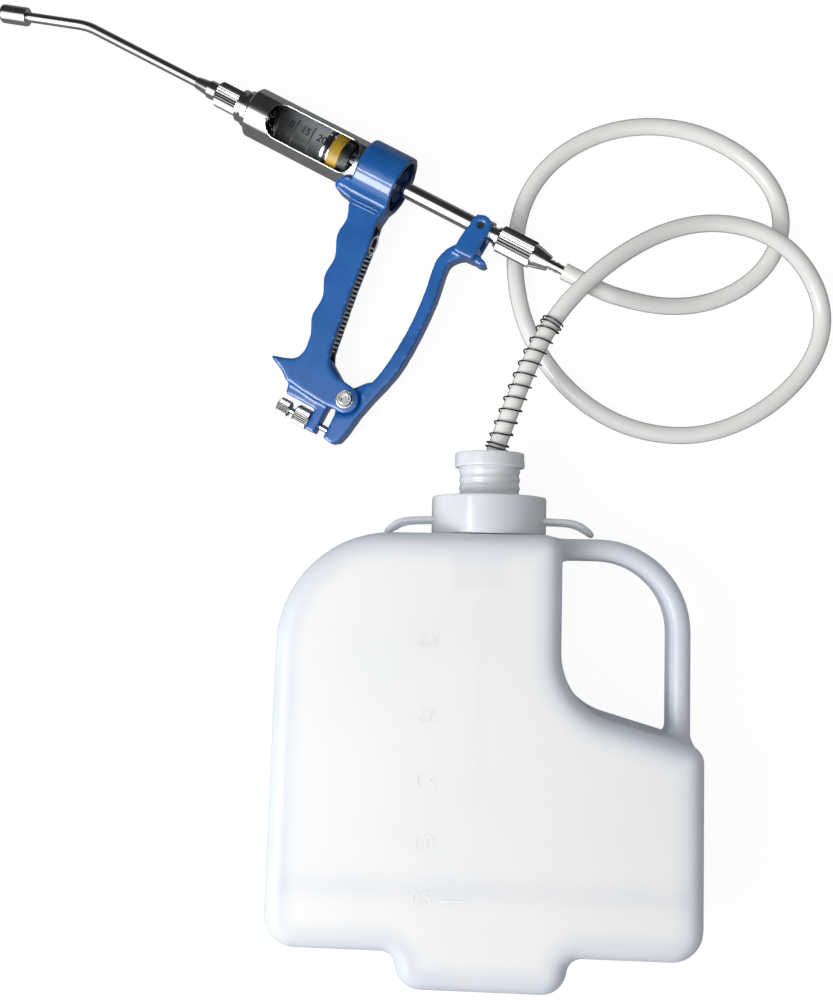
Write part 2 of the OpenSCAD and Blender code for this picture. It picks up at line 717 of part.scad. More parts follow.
function guard_point(k) =
  let (u = guard_start + guard_u(k) * guard_span, c = on_curve(hose_route, u),
    t = unit(on_curve(hose_route, u + guard_near) - on_curve(hose_route, u - guard_near)),
    w = unit(cross(t, floor_up)), v = cross(w, t), g = 360 * k / coil_rings)
  c + guard_r * (cos(g) * w + sin(g) * v);
guard_coil = [for (k = [0 : guard_all * coil_rings]) guard_point(k)];
guard_path = concat([[guard_coil[0][0], gland_top, guard_coil[0][2]]], guard_coil);
module hose_spring() {
  color(steel) coil_tube(guard_path, floor_up, guard_wire);
}

// Spout
module nozzle_tube() {
  color(chrome) gun() difference() {
    spout_line(spout_r, tip_bore, 0);
    spout_line(spout_bore, 0, cut);
  }
}
// Two straight runs that end inside a slightly fuller bend
module spout_line(r, short, over) {
  bar(-spout_reach + spout_tangent - spout_lap, spout_rear + over, r);
  translate([-spout_reach + spout_tangent, -spout_bend_r, 0]) rotate([0, 0, 90])
    rotate_extrude(angle = spout_bend) translate([spout_bend_r, 0]) circle(r = r + snug);
  spout_far() bar(-spout_end + short - over, -spout_tangent + spout_lap, r);
}
module spout_far() {
  translate([-spout_reach, 0, 0]) rotate([0, 0, spout_bend]) children();
}
module nozzle_tip() {
  tip_r = tip_d / 2;
  round_r = tip_r / 3;
  color(chrome) gun() spout_far() difference() {
    turned(concat(
      [[-spout_end, 0]],
      arc([-spout_end + round_r, tip_r - round_r], round_r, 180, 90, 6),
      arc([-spout_end + tip_l - round_r / 2, tip_r - round_r / 2], round_r / 2, 90, 0, 4),
      [[-spout_end + tip_l, 0]]));
    bar(-spout_end - cut, -spout_end + tip_bore + cut, tip_bore);
    bar(-spout_end + tip_bore - snug, -spout_end + tip_l + cut, spout_r + snug);
  }
}
module nozzle_ferrule() {
  x = ferrule_rear;
  s = spout_nut_front - seat_gap;
  step = s - ferrule_step_l;
  color(chrome) gun() difference() {
    turned([[x, 0], [x, ferrule_flange_r], [x - ferrule_flange_t, ferrule_flange_r],
      [x - ferrule_flange_t, ferrule_neck_r], [s, ferrule_neck_r], [s, ferrule_step_r],
      [step, ferrule_step_r], [step, ferrule_neck_r], [step - ferrule_cone_l, ferrule_cone_r],
      [step - ferrule_cone_l, 0]]);
    bar(step - ferrule_cone_l - cut, x + cut, spout_r + snug);
  }
}
module nozzle_nut() {
  color(chrome) gun() difference() {
    knurled_bar(spout_nut_front, spout_nut_rear, spout_nut_r, 2 * knurl_depth);
    bar(spout_nut_inner, spout_nut_rear + cut, stub_r + run_fit);
    bar(spout_nut_front - cut, spout_nut_rear, ferrule_neck_r + run_fit);
  }
}
module outlet_adapter() {
  f = sleeve_front - seat_gap / 3;
  color(chrome) gun() difference() {
    turned([[sleeve_front + sleeve_lip, 0], [sleeve_front + sleeve_lip, adapter_bore - snug],
      [f, adapter_bore - snug], [f, adapter_flange_r], [f - adapter_flange_t, adapter_flange_r],
      [f - adapter_flange_t, adapter_groove_r],
      [adapter_front + adapter_ring_t, adapter_groove_r], [adapter_front + adapter_ring_t, adapter_ring_r],
      [adapter_front, adapter_ring_r], [adapter_front, stub_r], [stub_end, stub_r], [stub_end, 0]]);
    bar(stub_end - cut, sleeve_front + sleeve_lip + cut, valve_port);
    bar(valve_seat - valve_l, valve_seat, valve_r);
  }
}
module outlet_ball() {
  color(chrome) gun() translate([outlet_ball_x, 0, 0]) sphere(r = ball_r);
}
outlet_coil = coil([outlet_spring_x0 + snug, 0, 0], [outlet_ball_x - ball_r - snug, 0, 0], floor_up,
  valve_coil, valve_turns, valve_wire);
module outlet_spring() {
  color(steel) gun() coil_tube(outlet_coil, floor_up, valve_wire);
}

// Barrel and piston
module window_shape() {
  l = window_l - 2 * window_r;
  w = window_w / 2 - window_r;
  translate([window_front + window_r, -window_w / 2]) square([l, window_w]);
  translate([window_front, -w]) square([window_l, 2 * w]);
  for (x = [0, l]) for (y = [-w, w]) translate([window_front + window_r + x, y]) circle(r = window_r);
}
module barrel_sleeve() {
  color(chrome) gun() difference() {
    turned([[sleeve_front, 0], [sleeve_front, sleeve_r - sleeve_wall],
      [sleeve_front + sleeve_wall, sleeve_r], [sleeve_rear, sleeve_r], [sleeve_rear, 0]]);
    bar(sleeve_front + sleeve_lip, sleeve_rear + cut, sleeve_bore);
    bar(sleeve_front - cut, sleeve_rear, adapter_bore);
    rotate([window_turn, 0, 0]) plate(sleeve_r + cut) window_shape();
  }
}
module ring_of(x0, x1, r, hole) {
  difference() {
    bar(x0, x1, r);
    bar(x0 - cut, x1 + cut, hole);
  }
}
module dose_cylinder() {
  color("#cfe0e6", 0.5) gun() ring_of(glass_front, glass_rear, glass_r, bore_r);
}
module front_seal() {
  color("#26282a") gun() ring_of(glass_front - seal_t, glass_front, glass_r, adapter_bore);
}
module rear_seal() {
  color("#26282a") gun() ring_of(glass_rear, glass_rear + seal_t, glass_r, bore_r - seal_t);
}
module piston_head() {
  color("#b9bcc0") gun() difference() {
    union() {
      bar(piston_front, oring_at, piston_r - run_fit);
      bar(piston_front, piston_rear, piston_core);
      bar(oring_at + oring_w, band_at, piston_r - run_fit);
    }
    bar(piston_rear - piston_socket, piston_rear + cut, rod_r + snug);
    bar(piston_front - cut, piston_rear, piston_port);
  }
}
module piston_oring() {
  color("#1b1c1e") gun() ring_of(oring_at + snug, oring_at + oring_w - snug, piston_r, piston_core + snug);
}
module piston_band() {
  color("#e0b53a") gun() ring_of(band_at + snug, band_at + band_w, piston_r, piston_core + snug);
}
module piston_cup() {
  color("#1b1c1e") gun() ring_of(cup_at, piston_rear, piston_r, piston_core + snug);
}
module rod_gland() {
  color(blue) gun() difference() {
    turned([[sleeve_rear - gland_plug, 0], [sleeve_rear - gland_plug, sleeve_bore - snug],
      [sleeve_rear + snug, sleeve_bore - snug], [sleeve_rear + snug, sleeve_r],
      [sleeve_rear + gland_flange, sleeve_r], [sleeve_rear + gland_flange, gland_boss_r],
      [ring_half - gland_sunk, gland_boss_r], [ring_half - gland_sunk, 0]]);
    bar(sleeve_rear - gland_plug - cut, ring_half, rod_r + run_fit);
  }
}
module piston_rod() {
  color(chrome) gun() difference() {
    union() {
      bar(piston_rear - piston_socket + snug, rod_end, rod_r);
      bar(inlet_back - inlet_seat_t, rod_end, rod_thread_r);
    }
    bar(piston_rear - piston_socket - cut, rod_end + cut, rod_bore);
    bar(inlet_spring_x0, rod_end + cut, inlet_valve_r);
  }
}
module inlet_ball() {
  color(chrome) gun() translate([inlet_ball_x, 0, 0]) sphere(r = ball_r);
}
inlet_coil = coil([inlet_spring_x0 + snug, 0, 0], [inlet_ball_x - ball_r - snug, 0, 0], floor_up,
  1.25 * valve_coil, valve_turns, valve_wire);
module inlet_spring() {
  color(steel) gun() coil_tube(inlet_coil, floor_up, valve_wire);
}

// Handle
finger_y0 = finger_start_share * pivot_drop;
finger_y1 = finger_end_share * pivot_drop;
function finger_x(y) = (finger_x_share * pivot_drop) + finger_lean_share * (finger_y0 - y)
  - finger_depth / 2 * cos(360 * (y - finger_y0 + finger_crest) / finger_pitch);
finger_edge = [
  for (k = [0 : finger_steps])
    let (y = finger_y0 + (finger_y1 - finger_y0) * k / finger_steps) [finger_x(y), y]];
handle_outline = concat(
  spread(handle_root_shares, pivot_drop),
  finger_edge,
  curve(spread(handle_hook_shares, pivot_drop), curve_steps),
  spread(handle_sole_shares, pivot_drop),
  arc(pivot, boss_r, -105, 85, 12),
  spread(handle_spine_shares, pivot_drop));
module grip_handle() {
  color(blue) gun() difference() {
    union() {
      bar(-ring_front, ring_half, ring_r);
      intersection() {
        bar(-ring_front - toe_reach, toe_drop - ring_front, ring_r - toe_step);
        plate(ring_r) polygon(concat(
          arc([toe_r - ring_front - toe_reach, toe_r - ring_r - toe_drop], toe_r, 90, 270, 8),
          [[0, -ring_r - toe_drop], [0, 2 * toe_r - ring_r - toe_drop]]));
      }
      difference() {
        plate(handle_half) polygon(handle_outline);
        plate(pocket_half) polygon(spread(pocket_shares, pivot_drop));
      }
      plate(foot_half) polygon([[foot_x0, -pivot_drop - foot_top],
        [foot_x0 + foot_top / 3, -pivot_drop - foot_bottom], [lug_x1, -pivot_drop - foot_bottom],
        [lug_x1, -pivot_drop - foot_top]]);
      plate(foot_half) translate([lug_x1 - lug_t, -pivot_drop - lug_bottom])
        square([lug_t, lug_bottom - foot_top]);
    }
    bar(-2 * ring_half, ring_half + cut, sleeve_r + snug);
    translate([pivot[0], pivot[1], -handle_half - cut])
      cylinder(h = handle_w + 2 * cut, r = pivot_r + snug);
    translate([0, dose_y, 0]) bar(foot_x0, lug_x1 + cut, dose_r + run_fit);
    translate([0, anchor_at[1], 0]) bar(anchor_floor - anchor_in, anchor_at[0], anchor_r + snug);
  }
}
anchor_floor = pivot_drop * (pocket_shares[0][0] + (pocket_shares[1][0] - pocket_shares[0][0])
  * (anchor_at[1] / pivot_drop - pocket_shares[0][1]) / (pocket_shares[1][1] - pocket_shares[0][1]));
module spring_anchor() {
  color(chrome) gun() translate([0, anchor_at[1], 0])
    bar(anchor_floor - anchor_in + snug, anchor_at[0] + anchor_end, anchor_r);
}
module squeeze_lever() {
  bar_shape = concat(
    curve(spread(lever_inner_shares, pivot_drop), curve_steps),
    curve(spread(lever_outer_shares, pivot_drop), curve_steps),
    spread(lever_tail_shares, pivot_drop),
    arc(pivot, boss_r + lever_clear, -95, 45, 8));
  fork_y = fork_floor_share * pivot_drop;
  color(blue) gun() difference() {
    union() {
      plate(lever_half) polygon(bar_shape);
      plate(root_half) polygon(spread(lever_root_shares, pivot_drop));
      plate(root_half) translate(pivot) circle(r = root_r);
      plate(root_half) translate(pivot) rotate([0, 0, atan2(arm_reach[1], arm_reach[0])])
        translate([0, -arm_r]) square([norm(arm_reach), 2 * arm_r]);
      plate(root_half) translate(arm_tip) circle(r = arm_r);
      plate(ear_half) polygon(spread(ear_shares, pivot_drop));
      plate(ear_half) translate([ear_back, 0]) circle(r = ear_r);
    }
    translate([0, fork_y, -ear_half + ear_t]) cube([2 * ear_back, ear_back, 2 * (ear_half - ear_t)]);
    translate([pivot[0], pivot[1], -handle_half]) cylinder(h = handle_w, r = pivot_r + run_fit);
    translate([ear_back, 0, -ear_half - cut]) cylinder(h = 2 * (ear_half + cut), r = trunnion_r + snug);
  }
}
module pivot_screw() {
  color(chrome) gun() translate([pivot[0], pivot[1], 0]) difference() {
    union() {
      translate([0, 0, -handle_half - pivot_nut_t])
        cylinder(h = handle_w + pivot_nut_t + pivot_head_t, r = pivot_r);
      translate([0, 0, handle_half + snug]) cylinder(h = pivot_head_t, r = pivot_head_r);
    }
    translate([0, 0, handle_half + pivot_head_t / 3])
      cylinder(h = pivot_head_t, d = pivot_socket_d, $fn = 6);
  }
}
module pivot_nut() {
  color(chrome) gun() translate([pivot[0], pivot[1], -handle_half - pivot_nut_t]) difference() {
    cylinder(h = pivot_nut_t - snug, r = pivot_head_r, $fn = 6);
    translate([0, 0, -cut]) cylinder(h = pivot_nut_t + 2 * cut, r = pivot_r + snug);
  }
}
module rod_collar() {
  color(chrome) gun() difference() {
    ring_of(trunnion_back - collar_grip_l / 2, trunnion_back + collar_grip_l / 2, collar_grip_r,
      rod_r + snug);
    for (s = [-1, 1]) translate([trunnion_back - trunnion_r - 2 * run_fit, -trunnion_r - slot_down,
      s * (collar_grip_r - slot_depth / 2 + cut / 2) - slot_depth / 2 - cut / 2])
      cube([trunnion_d + 4 * run_fit, trunnion_d + slot_down + slot_up, slot_depth + cut]);
  }
}
module link_pins() {
  pin_l = ear_half - collar_grip_r + slot_depth - trunnion_sunk - 2 * run_fit;
  pin_z = (collar_grip_r + ear_half - slot_depth - trunnion_sunk) / 2;
  color(steel) gun() for (s = [-1, 1]) translate([trunnion_back, 0, s * pin_z])
    cylinder(h = pin_l, r = trunnion_r, center = true);
}
return_coil = coil([return_low[0], return_low[1], 0], [return_high[0], return_high[1], 0], floor_up,
  return_r, return_turns, spring_leg);
module return_spring() {
  color(steel) gun() coil_tube(return_coil, floor_up, return_wire);
}
module dose_screw() {
  color(chrome) gun() translate([0, dose_y, 0]) bar(dose_knob_x + dose_knob_l / 2, dose_end, dose_r);
}
module dose_knob() {
  color(chrome) gun() translate([0, dose_y, 0]) difference() {
    knurled_bar(dose_knob_x, dose_knob_x + dose_knob_l, dose_knob_d / 2, 2 * knurl_depth);
    bar(dose_knob_x + dose_knob_l / 2 - snug, dose_knob_x + dose_knob_l + cut, dose_r + run_fit);
  }
}
module dose_lock_nut() {
  x1 = lug_x1 - lug_t - seat_gap;
  color(chrome) gun() translate([0, dose_y, 0]) difference() {
    knurled_bar(x1 - dose_lock_l, x1, lock_nut_d / 2, 2 * knurl_depth);
    bar(x1 - dose_lock_l - cut, x1 + cut, dose_r + run_fit);
  }
}

// Inlet
module inlet_nut() {
  color(chrome) gun() difference() {
    knurled_bar(inlet_back, inlet_nut_end, inlet_nut_r, 2 * knurl_depth);
    bar(inlet_back - cut, inlet_shoulder, rod_thread_r + run_fit);
    bar(inlet_back, inlet_nut_end + cut, barb_neck_r + run_fit);
  }
}
module hose_barb() {
  flange_end = barb_front + barb_flange_l;
  color(chrome) gun() difference() {
    union() {
      turned([[barb_front, 0], [barb_front, rod_thread_r - run_fit], [flange_end, rod_thread_r - run_fit],
        [flange_end, barb_neck_r], [cone_start, barb_neck_r], [cone_start, cone_r],
        [cone_start + cone_rim, cone_r], [tail_start, cone_end_r], [tail_start, tail_r], [tail_end, tail_r],
        [tail_end, 0]]);
      for (k = [0 : barb_rings - 1]) translate([tail_start + barb_step * k, 0, 0])
        turned([[0.4 * barb_step, 0], [0.4 * barb_step, barb_r], [1.2 * barb_step, tail_r - snug],
          [1.2 * barb_step, 0]]);
    }
    bar(barb_front - cut, tail_end + cut, valve_port);
  }
}

echo(hose_length_mm = hose_length * [for (q = hose_length) 1]);
echo(guard_gap = least_gap(guard_path, guard_wire));
echo(return_gap = least_gap(return_coil, return_wire));
echo(outlet_gap = least_gap(outlet_coil, valve_wire));
echo(inlet_gap = least_gap(inlet_coil, valve_wire));

bottle();
neck_collar();
neck_gasket();
strap_loops();
fill_spigot();
hose_gland();
dip_tube();
strainer();
hose();
hose_spring();
nozzle_tip();
nozzle_tube();
nozzle_ferrule();
nozzle_nut();
outlet_adapter();
outlet_ball();
outlet_spring();
barrel_sleeve();
dose_cylinder();
front_seal();
rear_seal();
piston_head();
piston_oring();
piston_band();
piston_cup();
rod_gland();
piston_rod();
inlet_ball();
inlet_spring();
grip_handle();
squeeze_lever();
pivot_screw();
pivot_nut();
rod_collar();
link_pins();
return_spring();
spring_anchor();
dose_screw();
dose_knob();
dose_lock_nut();
inlet_nut();
hose_barb();
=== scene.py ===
import json
import math

import bmesh
import bpy
import numpy as np
from mathutils import Matrix, Vector

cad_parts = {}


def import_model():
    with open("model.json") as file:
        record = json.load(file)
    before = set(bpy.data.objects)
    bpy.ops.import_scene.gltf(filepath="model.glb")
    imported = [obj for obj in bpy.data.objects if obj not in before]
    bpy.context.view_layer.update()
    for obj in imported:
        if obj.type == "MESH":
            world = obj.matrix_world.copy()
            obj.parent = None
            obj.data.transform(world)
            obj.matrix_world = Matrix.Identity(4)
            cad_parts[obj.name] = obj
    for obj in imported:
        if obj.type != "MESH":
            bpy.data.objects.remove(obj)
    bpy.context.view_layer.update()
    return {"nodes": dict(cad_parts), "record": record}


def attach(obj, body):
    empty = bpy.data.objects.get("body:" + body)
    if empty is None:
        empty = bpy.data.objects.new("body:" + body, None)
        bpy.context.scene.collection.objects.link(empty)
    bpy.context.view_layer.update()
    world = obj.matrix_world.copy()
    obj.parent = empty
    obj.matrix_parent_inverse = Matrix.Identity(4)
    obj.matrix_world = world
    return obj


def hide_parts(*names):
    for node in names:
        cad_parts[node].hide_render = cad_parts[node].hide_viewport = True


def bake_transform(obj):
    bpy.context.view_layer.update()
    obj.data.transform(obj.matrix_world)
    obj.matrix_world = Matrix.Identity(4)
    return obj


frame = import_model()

MM = 0.001
scene = bpy.context.scene
scene.view_settings.view_transform = "Standard"


# Camera at the photograph's viewing angle
def photo_camera():
    eye = Vector((6.7, 74.0, 740.0)) * MM
    aim = Vector((-39.6, 128.4, 58.0)) * MM
    roll = math.radians(1.3)
    ahead = (aim - eye).normalized()
    right = ahead.cross(Vector((0, 1, 0))).normalized()
    up = right.cross(ahead)
    across = right * math.cos(roll) + up * math.sin(roll)
    upward = up * math.cos(roll) - right * math.sin(roll)
    data = bpy.data.cameras.new("camera")
    data.sensor_width = 36
    data.lens = 45
    data.clip_start = 0.01
    data.clip_end = 50
    obj = bpy.data.objects.new("camera", data)
    turn = Matrix((across, upward, -ahead)).transposed().to_4x4()
    turn.translation = eye
    obj.matrix_world = turn
    scene.collection.objects.link(obj)
    scene.camera = obj


photo_camera()


# Node materials
NOISE_ROUGHNESS = 0.55


def new_material(name):
    mat = bpy.data.materials.new(name)
    mat.use_nodes = True
    tree = mat.node_tree
    return mat, tree, tree.nodes["Principled BSDF"]


def put(shader, **values):
    for key, value in values.items():
        shader.inputs[key.replace("_", " ")].default_value = value


def noise(tree, scale, detail):
    """Noise fixed to the piece, with so many waves in a metre."""
    coord = tree.nodes.new("ShaderNodeTexCoord")
    tex = tree.nodes.new("ShaderNodeTexNoise")
    tex.inputs["Scale"].default_value = scale
    tex.inputs["Detail"].default_value = detail
    tex.inputs["Roughness"].default_value = NOISE_ROUGHNESS
    tree.links.new(coord.outputs["Object"], tex.inputs["Vector"])
    return tex


def spread(tree, source, low, high, start=0.3, end=0.7):
    """Value that runs from low to high while the source runs from start to end."""
    node = tree.nodes.new("ShaderNodeMapRange")
    node.inputs["From Min"].default_value = start
    node.inputs["From Max"].default_value = end
    node.inputs["To Min"].default_value = low
    node.inputs["To Max"].default_value = high
    tree.links.new(source, node.inputs["Value"])
    return node.outputs["Result"]


def shades(tree, source, stops):
    """Colour from a ramp of (place, colour) stops."""
    ramp = tree.nodes.new("ShaderNodeValToRGB")
    band = ramp.color_ramp
    while len(band.elements) < len(stops):
        band.elements.new(0.5)
    for element, (place, colour) in zip(band.elements, stops):
        element.position = place
        element.color = (*colour, 1.0)
    tree.links.new(source, ramp.inputs["Fac"])
    return ramp.outputs["Color"]


def bump(tree, shader, source, strength, distance):
    node = tree.nodes.new("ShaderNodeBump")
    node.inputs["Strength"].default_value = strength
    node.inputs["Distance"].default_value = distance
    tree.links.new(source, node.inputs["Height"])
    tree.links.new(node.outputs["Normal"], shader.inputs["Normal"])


def tone(colour, factor):
    return tuple(min(1.0, c * factor) for c in colour)


def blue_paint():
    mat, tree, shader = new_material("blue_paint")
    base = (0.006, 0.110, 0.395)
    cloud = noise(tree, 60.0, 4.0)
    peel = noise(tree, 900.0, 2.0)
    stops = [(0.25, tone(base, 0.86)), (0.75, tone(base, 1.12))]
    colour = shades(tree, cloud.outputs["Fac"], stops)
    # Painted shade: the recess attribute mixes the paint towards near black in the channel and the rear
    # recess.
    recess = tree.nodes.new("ShaderNodeAttribute")
    recess.attribute_name = "recess"
    dark = tree.nodes.new("ShaderNodeMix")
    dark.data_type = "RGBA"
    tree.links.new(recess.outputs["Fac"], dark.inputs["Factor"])
    tree.links.new(colour, dark.inputs["A"])
    dark.inputs["B"].default_value = (0.004, 0.006, 0.010, 1)
    tree.links.new(dark.outputs["Result"], shader.inputs["Base Color"])
    tree.links.new(spread(tree, cloud.outputs["Fac"], 0.26, 0.38), shader.inputs["Roughness"])
    bump(tree, shader, peel.outputs["Fac"], 0.12, 0.0002)
    put(shader, Coat_Weight=1.0, Coat_Roughness=0.05, Coat_IOR=1.6, Specular_IOR_Level=0.4)
    return mat


def metal(name, base, rough):
    mat, tree, shader = new_material(name)
    film = noise(tree, 90.0, 4.0)
    lines = noise(tree, 700.0, 2.0)
    stops = [(0.3, tone(base, 0.92)), (0.7, tone(base, 1.05))]
    tree.links.new(shades(tree, film.outputs["Fac"], stops), shader.inputs["Base Color"])
    polish = spread(tree, film.outputs["Fac"], rough * 0.7, rough * 1.5)
    tree.links.new(polish, shader.inputs["Roughness"])
    bump(tree, shader, lines.outputs["Fac"], 0.05, 0.0001)
    put(shader, Metallic=1.0)
    return mat


def milky_plastic():
    mat, tree, shader = new_material("milky_plastic")
    cloud = noise(tree, 14.0, 3.0)
    grain = noise(tree, 1500.0, 2.0)
    # Painted shade: the depth attribute mixes bluish grey at the walls into white in the middle.
    edge = tree.nodes.new("ShaderNodeAttribute")
    edge.attribute_name = "depth"
    inner_stops = [(0.3, (0.845, 0.860, 0.870)), (0.7, (0.885, 0.880, 0.865))]
    wall_shade_stops = [(0.3, (0.640, 0.690, 0.780)), (0.7, (0.700, 0.730, 0.790))]
    inner = shades(tree, cloud.outputs["Fac"], inner_stops)
    outer = shades(tree, cloud.outputs["Fac"], wall_shade_stops)
    mix = tree.nodes.new("ShaderNodeMix")
    mix.data_type = "RGBA"
    tree.links.new(edge.outputs["Fac"], mix.inputs["Factor"])
    tree.links.new(outer, mix.inputs["A"])
    tree.links.new(inner, mix.inputs["B"])
    tree.links.new(mix.outputs["Result"], shader.inputs["Base Color"])
    tree.links.new(spread(tree, cloud.outputs["Fac"], 0.30, 0.40), shader.inputs["Roughness"])
    bump(tree, shader, grain.outputs["Fac"], 0.05, 0.0002)
    put(shader, Subsurface_Weight=0.35, Subsurface_Radius=(0.006, 0.0065, 0.007), Subsurface_Scale=1.0)
    put(shader, IOR=1.5)
    return mat


def cap_plastic():
    mat, tree, shader = new_material("cap_plastic")
    cloud = noise(tree, 30.0, 3.0)
    grain = noise(tree, 1500.0, 2.0)
    stops = [(0.3, (0.700, 0.735, 0.800)), (0.7, (0.770, 0.785, 0.815))]
    colour = shades(tree, cloud.outputs["Fac"], stops)
    tree.links.new(colour, shader.inputs["Base Color"])
    tree.links.new(spread(tree, cloud.outputs["Fac"], 0.16, 0.24), shader.inputs["Roughness"])
    bump(tree, shader, grain.outputs["Fac"], 0.03, 0.0002)
    put(shader, Coat_Weight=0.6, Coat_Roughness=0.15)
    put(shader, Subsurface_Weight=0.3, Subsurface_Radius=(0.004, 0.0045, 0.005), Subsurface_Scale=1.0)
    return mat


def clear_tube():
    mat, tree, shader = new_material("clear_tube")
    cloud = noise(tree, 45.0, 3.0)
    stops = [(0.3, (0.930, 0.930, 0.905)), (0.7, (0.960, 0.960, 0.940))]
    colour = shades(tree, cloud.outputs["Fac"], stops)
    tree.links.new(colour, shader.inputs["Base Color"])
    tree.links.new(spread(tree, cloud.outputs["Fac"], 0.10, 0.18), shader.inputs["Roughness"])
    edge = tree.nodes.new("ShaderNodeLayerWeight")
    edge.inputs["Blend"].default_value = 0.5
    clear = spread(tree, edge.outputs["Facing"], 0.12, 0.75, 0.45, 0.85)
    tree.links.new(clear, shader.inputs["Transmission Weight"])
    put(shader, IOR=1.45)
    return mat


def glass():
    mat, tree, shader = new_material("clear_glass")
    cloud = noise(tree, 60.0, 2.0)
    stops = [(0.3, (0.94, 0.97, 0.97)), (0.7, (0.98, 0.99, 0.99))]
    colour = shades(tree, cloud.outputs["Fac"], stops)
    tree.links.new(colour, shader.inputs["Base Color"])
    tree.links.new(spread(tree, cloud.outputs["Fac"], 0.0, 0.03), shader.inputs["Roughness"])
    put(shader, Transmission_Weight=1.0, IOR=1.1)
    return mat


def plain(name, base, rough, specular=0.5):
    mat, tree, shader = new_material(name)
    cloud = noise(tree, 120.0, 4.0)
    grain = noise(tree, 1800.0, 2.0)
    stops = [(0.3, tone(base, 0.85)), (0.7, tone(base, 1.15))]
    tree.links.new(shades(tree, cloud.outputs["Fac"], stops), shader.inputs["Base Color"])
    gloss = spread(tree, cloud.outputs["Fac"], rough * 0.85, rough * 1.15)
    tree.links.new(gloss, shader.inputs["Roughness"])
    bump(tree, shader, grain.outputs["Fac"], 0.06, 0.0002)
    put(shader, Specular_IOR_Level=specular)
    return mat


def window_painted_shade():
    mat, tree, shader = new_material("window_painted_shade")
    run = tree.nodes.new("ShaderNodeAttribute")
    run.attribute_name = "run"
    film = noise(tree, 220.0, 3.0)
    total = tree.nodes.new("ShaderNodeMath")
    tree.links.new(run.outputs["Fac"], total.inputs[0])
    tree.links.new(spread(tree, film.outputs["Fac"], -0.05, 0.05), total.inputs[1])
    # Painted shade: grey that darkens towards the front of the window.
    grey = [(0.0, 0.16), (0.25, 0.34), (0.6, 0.56), (1.0, 0.80)]
    stops = [(p, (v, v, v * 1.03)) for p, v in grey]
    tree.links.new(shades(tree, total.outputs[0], stops), shader.inputs["Base Color"])
    tree.links.new(spread(tree, film.outputs["Fac"], 0.30, 0.42), shader.inputs["Roughness"])
    return mat


LOOKS = {
    "milky_plastic": cap_plastic(),
    "grey_rubber": plain("grey_rubber", (0.21, 0.215, 0.22), 0.6),
    "clear_tube": clear_tube(),
    "spring_steel": metal("spring_steel", (0.42, 0.43, 0.44), 0.20),
    "chrome": metal("chrome", (0.86, 0.865, 0.87), 0.07),
    "clear_glass": glass(),
    "black_rubber": plain("black_rubber", (0.012, 0.012, 0.013), 0.42),
    "piston_metal": metal("piston_metal", (0.62, 0.63, 0.65), 0.16),
    "yellow_plastic": plain("yellow_plastic", (0.62, 0.36, 0.03), 0.35),
    "blue_paint": blue_paint(),
}
BOTTLE_LOOK = milky_plastic()
MARK_WHITE = plain("mark_white", (0.93, 0.93, 0.92), 0.35)
INK = plain("scale_ink", (0.010, 0.010, 0.011), 0.5)
DARK_STEEL = metal("dark_steel", (0.10, 0.10, 0.105), 0.25)
BRIGHT_WIRE = plain("bright_wire", (0.66, 0.66, 0.66), 0.28)
WINDOW_PAINTED_SHADE = window_painted_shade()
# Painted shade: near-black blue for the rod gland deep in the ring's rear recess.
PAINTED_SHADE_BLUE = plain("painted_shade_blue", (0.004, 0.030, 0.100), 0.55, specular=0.15)
WORN_CHROME = metal("worn_chrome", (0.46, 0.46, 0.45), 0.30)


# Mesh helpers
def mesh_object(name, points, faces, smooth=True):
    mesh = bpy.data.meshes.new(name)
    mesh.from_pydata([tuple(p) for p in points], [], [tuple(f) for f in faces])
    mesh.validate()
    mesh.update()
    if smooth:
        mesh.polygons.foreach_set("use_smooth", [True] * len(mesh.polygons))
    obj = bpy.data.objects.new(name, mesh)
    scene.collection.objects.link(obj)
    return obj


def dress(obj, look):
    obj.data.materials.clear()
    obj.data.materials.append(look)
    return obj


def catmull(points, step):
    """Points about one step apart on a smooth curve through the given ones."""
    p = np.asarray(points, float)
    out = []
    for i in range(len(p) - 1):
        a, b, c, d = p[max(i - 1, 0)], p[i], p[i + 1], p[min(i + 2, len(p) - 1)]
        count = max(1, int(round(np.linalg.norm(c - b) / step)))
        for k in range(count):
            t = k / count
            out.append(0.5 * (2 * b + (c - a) * t + (2 * a - 5 * b + 4 * c - d) * t**2
                              + (3 * b - a - 3 * c + d) * t**3))
    out.append(p[-1])
    return np.array(out)


def calm(path, passes, first, last):
    """Even out a path, keeping its first and last points."""
    path = path.copy()
    for _ in range(passes):
        before, after = path[first - 1:-last - 1], path[first + 1:len(path) - last + 1]
        path[first:-last] = (before + 2 * path[first:-last] + after) / 4
    return path


def carried_frames(path):
    """A pair of side directions at each point, carried along without twist."""
    n = len(path)
    ahead = np.gradient(path, axis=0)
    ahead /= np.linalg.norm(ahead, axis=1)[:, None]
    side = np.cross(ahead[0], (0.0, 0.0, 1.0))
    if np.linalg.norm(side) < 1e-6:
        side = np.cross(ahead[0], (0.0, 1.0, 0.0))
    sides = np.zeros_like(path)
    for i in range(n):
        side = side - ahead[i] * (side @ ahead[i])
        side = side / np.linalg.norm(side)
        sides[i] = side
    return ahead, sides, np.cross(ahead, sides)


def ring_faces(rows, count):
    faces = []
    for j in range(rows - 1):
        for i in range(count):
            k = (i + 1) % count
            faces.append((j * count + i, j * count + k, (j + 1) * count + k, (j + 1) * count + i))
    return faces


def rings(path, stations, count):
    """Rings of points about a path, one for each station (place, radius, shift ahead)."""
    ahead, u, v = carried_frames(path)
    angles = np.arange(count) * 2 * math.pi / count
    rows = []
    for i, radius, shift in stations:
        centre = path[i] + ahead[i] * shift
        rows += [centre + radius * (math.cos(a) * u[i] + math.sin(a) * v[i]) for a in angles]
    return np.array(rows)


